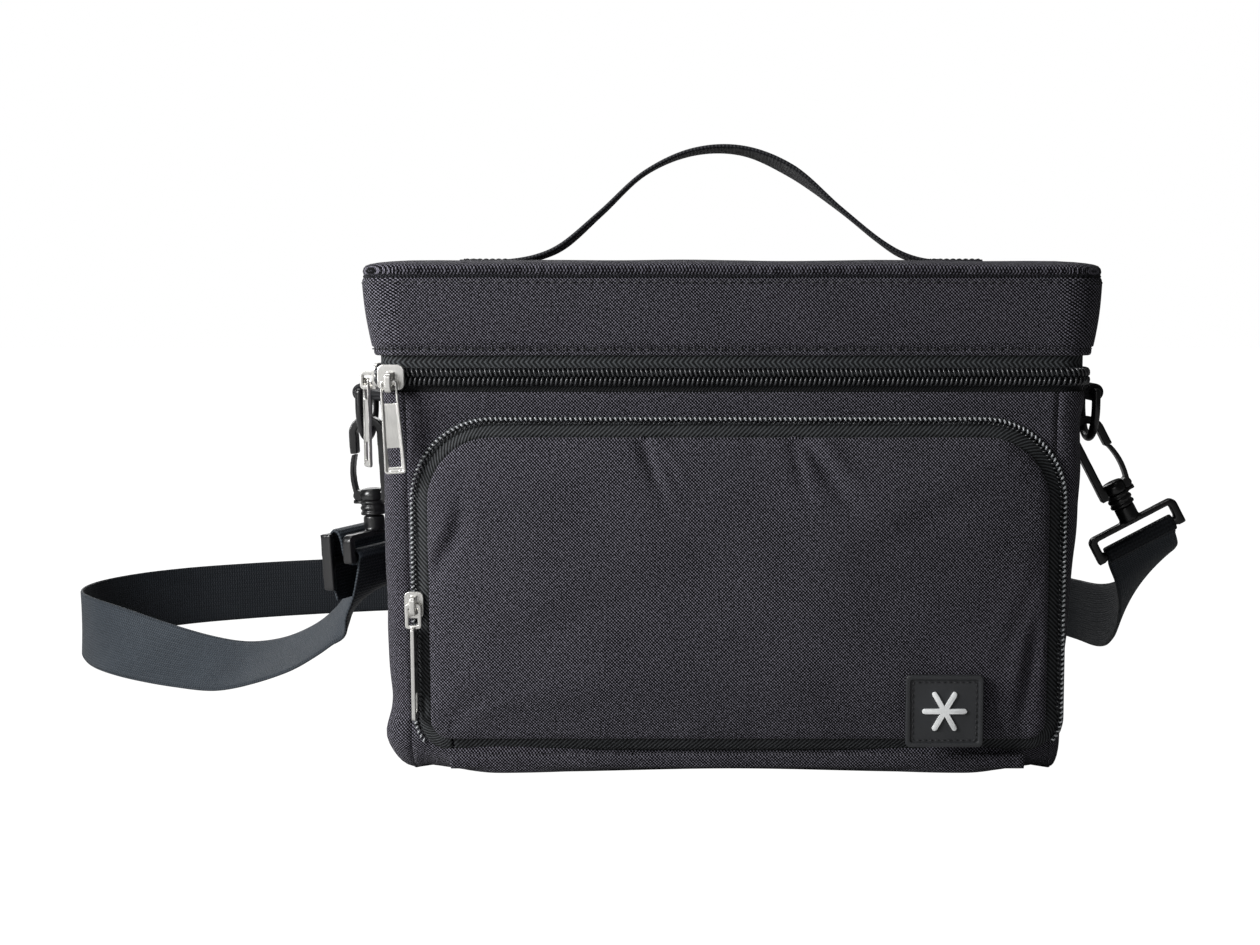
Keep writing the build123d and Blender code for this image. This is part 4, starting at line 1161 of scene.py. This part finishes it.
# ---- hardware and sewn tabs: the same shapes with eased edges
def eased(node, body, material, voxel, passes, pivot=None, turn=None):
    """The piece with its edges rounded over, as cast, moulded or sewn pieces have them. It may hang a little turned:
    turn is an axis letter and degrees about the pivot point, in millimetres."""
    piece = new_object(node + "_eased", NODES[node].data.copy())
    if turn:
        centre = Matrix.Translation(Vector(pivot) * MM)
        piece.data.transform(centre @ Matrix.Rotation(math.radians(turn[1]), 4, turn[0]) @ centre.inverted())
    even = piece.modifiers.new("even", "REMESH")
    even.mode = "VOXEL"
    even.voxel_size = voxel * MM
    ease = piece.modifiers.new("ease", "SMOOTH")
    ease.factor = 0.5
    ease.iterations = passes
    apply_modifiers(piece)
    piece.data.materials.clear()
    piece.data.materials.append(material)
    piece.data.polygons.foreach_set("use_smooth", [True] * len(piece.data.polygons))
    where = np.empty(3 * len(piece.data.vertices), np.float32)
    piece.data.vertices.foreach_get("co", where)
    where = where.reshape(-1, 3)[:, [1, 2, 0]] / MM
    held = piece.data.attributes.new("weave", "FLOAT_VECTOR", "POINT")
    held.data.foreach_set("vector", where.ravel())
    return finish_piece(piece, body, [node])


def middle(node):
    return sum(box_mm(node)) / 2


for side in ("left", "right"):
    eased("snap_hook_" + side, "hook_" + side, PLASTIC, 0.42, 5)
    eased("hook_gate_" + side, "gate_" + side, PLASTIC, 0.3, 3)
    eased("side_tab_" + side, "bag_body", GRIP, 0.55, 5)
    eased("swivel_frame_" + side, "strap", PLASTIC, 0.42, 16)
eased("tri_glide", "tri_glide", PLASTIC, 0.45, 24)


def collar(name, frame, body):
    """Turned cap where the hook's spine and gate meet its ribbed neck."""
    profile = [(0.0, 4.0), (4.4, 4.0), (5.0, 4.4), (5.2, 5.2), (5.2, 7.0), (4.8, 8.2), (4.0, 8.9), (2.6, 9.2),
               (0.0, 9.2)]
    turns = np.linspace(0, 2 * math.pi, 37)[:-1]
    grid = np.array([[frame.hook_point(radius * math.cos(t), radius * math.sin(t), along) for t in turns]
                     for radius, along in profile])
    piece = mesh_object(name, grid, ring_faces(grid), PLASTIC)
    with_volume_outwards(piece)
    finish_piece(piece, body)


collar("hook_collar_left", LEFT, "hook_left")
collar("hook_collar_right", RIGHT, "hook_right")
PIVOT_Z = 148.0
FRONT_PIVOT = (middle("front_slider")[0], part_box("front_slider_pull")[0][1] / MM, PIVOT_Z)
SIDE_PIVOT = (middle("side_slider_pull")[0] + 0.2, middle("side_slider")[1], PIVOT_Z)
for slider in ("front_slider", "side_slider"):
    eased(slider, slider, NICKEL, 0.22, 4)
eased("front_slider_pull", "front_pull", NICKEL, 0.2, 2, FRONT_PIVOT, ("Y", -3.5))
eased("side_slider_pull", "side_pull", NICKEL, 0.2, 2, SIDE_PIVOT, ("Z", 28.0))
eased("pocket_slider", "pocket_slider", NICKEL, 0.2, 3)
eased("pocket_slider_pull", "pocket_pull", NICKEL, 0.2, 2)


TAB_FACE = HALF_W + 2.85


def tab_stitches():
    """Box of stitches that holds each tab to the side panel."""
    for side, name in ((-1, "left"), (1, "right")):
        low, high = box_mm("side_tab_" + name)
        face = side * TAB_FACE
        half = (high[1] - low[1]) / 2 - 2.2
        floor_z, top_z = low[2] + 2.0, low[2] + 15.0
        loop = [(face, -half, floor_z), (face, half, floor_z), (face, half, top_z), (face, -half, top_z),
                (face, -half, floor_z), (face, half, top_z)]
        stitches("tab_stitches_" + name, np.array(loop), (side, 0, 0), "bag_body", 2.6, radius=0.25)


tab_stitches()


# ---- liner, soft rims and the cloth hinge
def lined(name, rows, cap, body, stands_for, seed):
    """Crinkled film that follows the outline: rows of (out, z), then a flat end closed towards the middle."""
    grid, cloth = [], []
    for out, z in rows:
        crinkle = 0.28 * ripple(LOOP, z, 13, seed) + 0.2 * ripple(LOOP, z, 31, seed + 4)
        grid.append(wall_points(LOOP, z, out + crinkle))
        cloth.append(cloth_place(LOOP, z))
    edge = wall_points(LOOP, cap, rows[-1][0] - 1.2)
    for share in (1.0, 0.94, 0.86, 0.76, 0.64, 0.5, 0.34, 0.16, 0.03):
        ring = edge.copy()
        ring[:, :2] *= share
        ring[:, 2] = cap + 0.2 * ripple(ring[:, 0], ring[:, 1], 15, seed)
        grid.append(ring)
        cloth.append(ring.copy())
    grid = np.array(grid)
    obj = mesh_object(name, grid, ring_faces(grid) + [end_face(grid)], LINER, cloth)
    thicken(obj, 0.25, 0.0)
    finish_piece(obj, body, [stands_for])


LINER_OUT = -6.9          # where the film lies, on the inner face of the foam
TUB_RIM, LID_RIM = 146.6, 153.0
TUB_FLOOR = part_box("liner_tub")[0][2] / MM + 0.7
LID_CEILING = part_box("lid_liner")[1][2] / MM - 0.6
TUB_ROWS = [(LINER_OUT, z) for z in np.linspace(TUB_RIM, TUB_FLOOR + 2, 34)] + [(LINER_OUT - 0.5, TUB_FLOOR + 0.8)]
LID_ROWS = [(LINER_OUT, z) for z in np.linspace(LID_RIM, LID_CEILING - 2, 10)] + [(LINER_OUT - 0.5, LID_CEILING - 0.8)]
lined("tub_film", TUB_ROWS, TUB_FLOOR, "bag_body", "liner_tub", 2.4)
lined("lid_film", LID_ROWS, LID_CEILING, "lid", "lid_liner", 6.6)
RIM_ROLL = [(-0.6, -0.6), (-0.25, 0.5), (-0.7, 1.5), (-2.2, 2.1), (-4.4, 2.2), (-6.4, 2.0), (-7.6, 1.3), (-8.05, 0.2),
            (-8.0, -2.0), (-7.9, -4.5), (-8.0, -7.4)]
RIM_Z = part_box("rim_binding")[1][2] / MM - 2.45
LID_RIM_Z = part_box("lid_rim_binding")[0][2] / MM + 2.45
for name, body, rise, base in (("rim", "bag_body", 1, RIM_Z), ("lid_rim", "lid", -1, LID_RIM_Z)):
    lid_surface(name + "_roll", [(out, base + rise * z) for out, z in RIM_ROLL], name + "_binding", 0.12, body,
                BINDING, 0.7)


def hinge_cloth():
    """One strip of cloth behind, sewn to the body below and to the lid above."""
    x = np.linspace(-SEAM_X + 1, SEAM_X - 1, 90)
    profile = [(0.45, 137), (0.45, 140), (0.45, 143), (0.7, 145), (1.0, 146.5), (1.05, 148), (1.1, 149), (1.15, 150),
               (1.1, 151), (1.05, 152), (1.0, 153.5), (0.95, 155), (0.9, 157), (0.8, 159)]
    grid = np.array([np.stack([x, HALF_D + out + 0.1 * ripple(x, z, 22, 1.7), 0 * x + z], -1)
                     for out, z in profile])
    cloth = grid[..., [0, 2, 1]]
    faces = [face[::-1] for face in grid_faces(len(profile), len(x))]
    obj = mesh_object("hinge_cloth", grid, faces, SHELL, cloth)
    thicken(obj, 0.6)
    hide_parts("hinge_strip", "lid_hinge_strip")
    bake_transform(obj)


hinge_cloth()
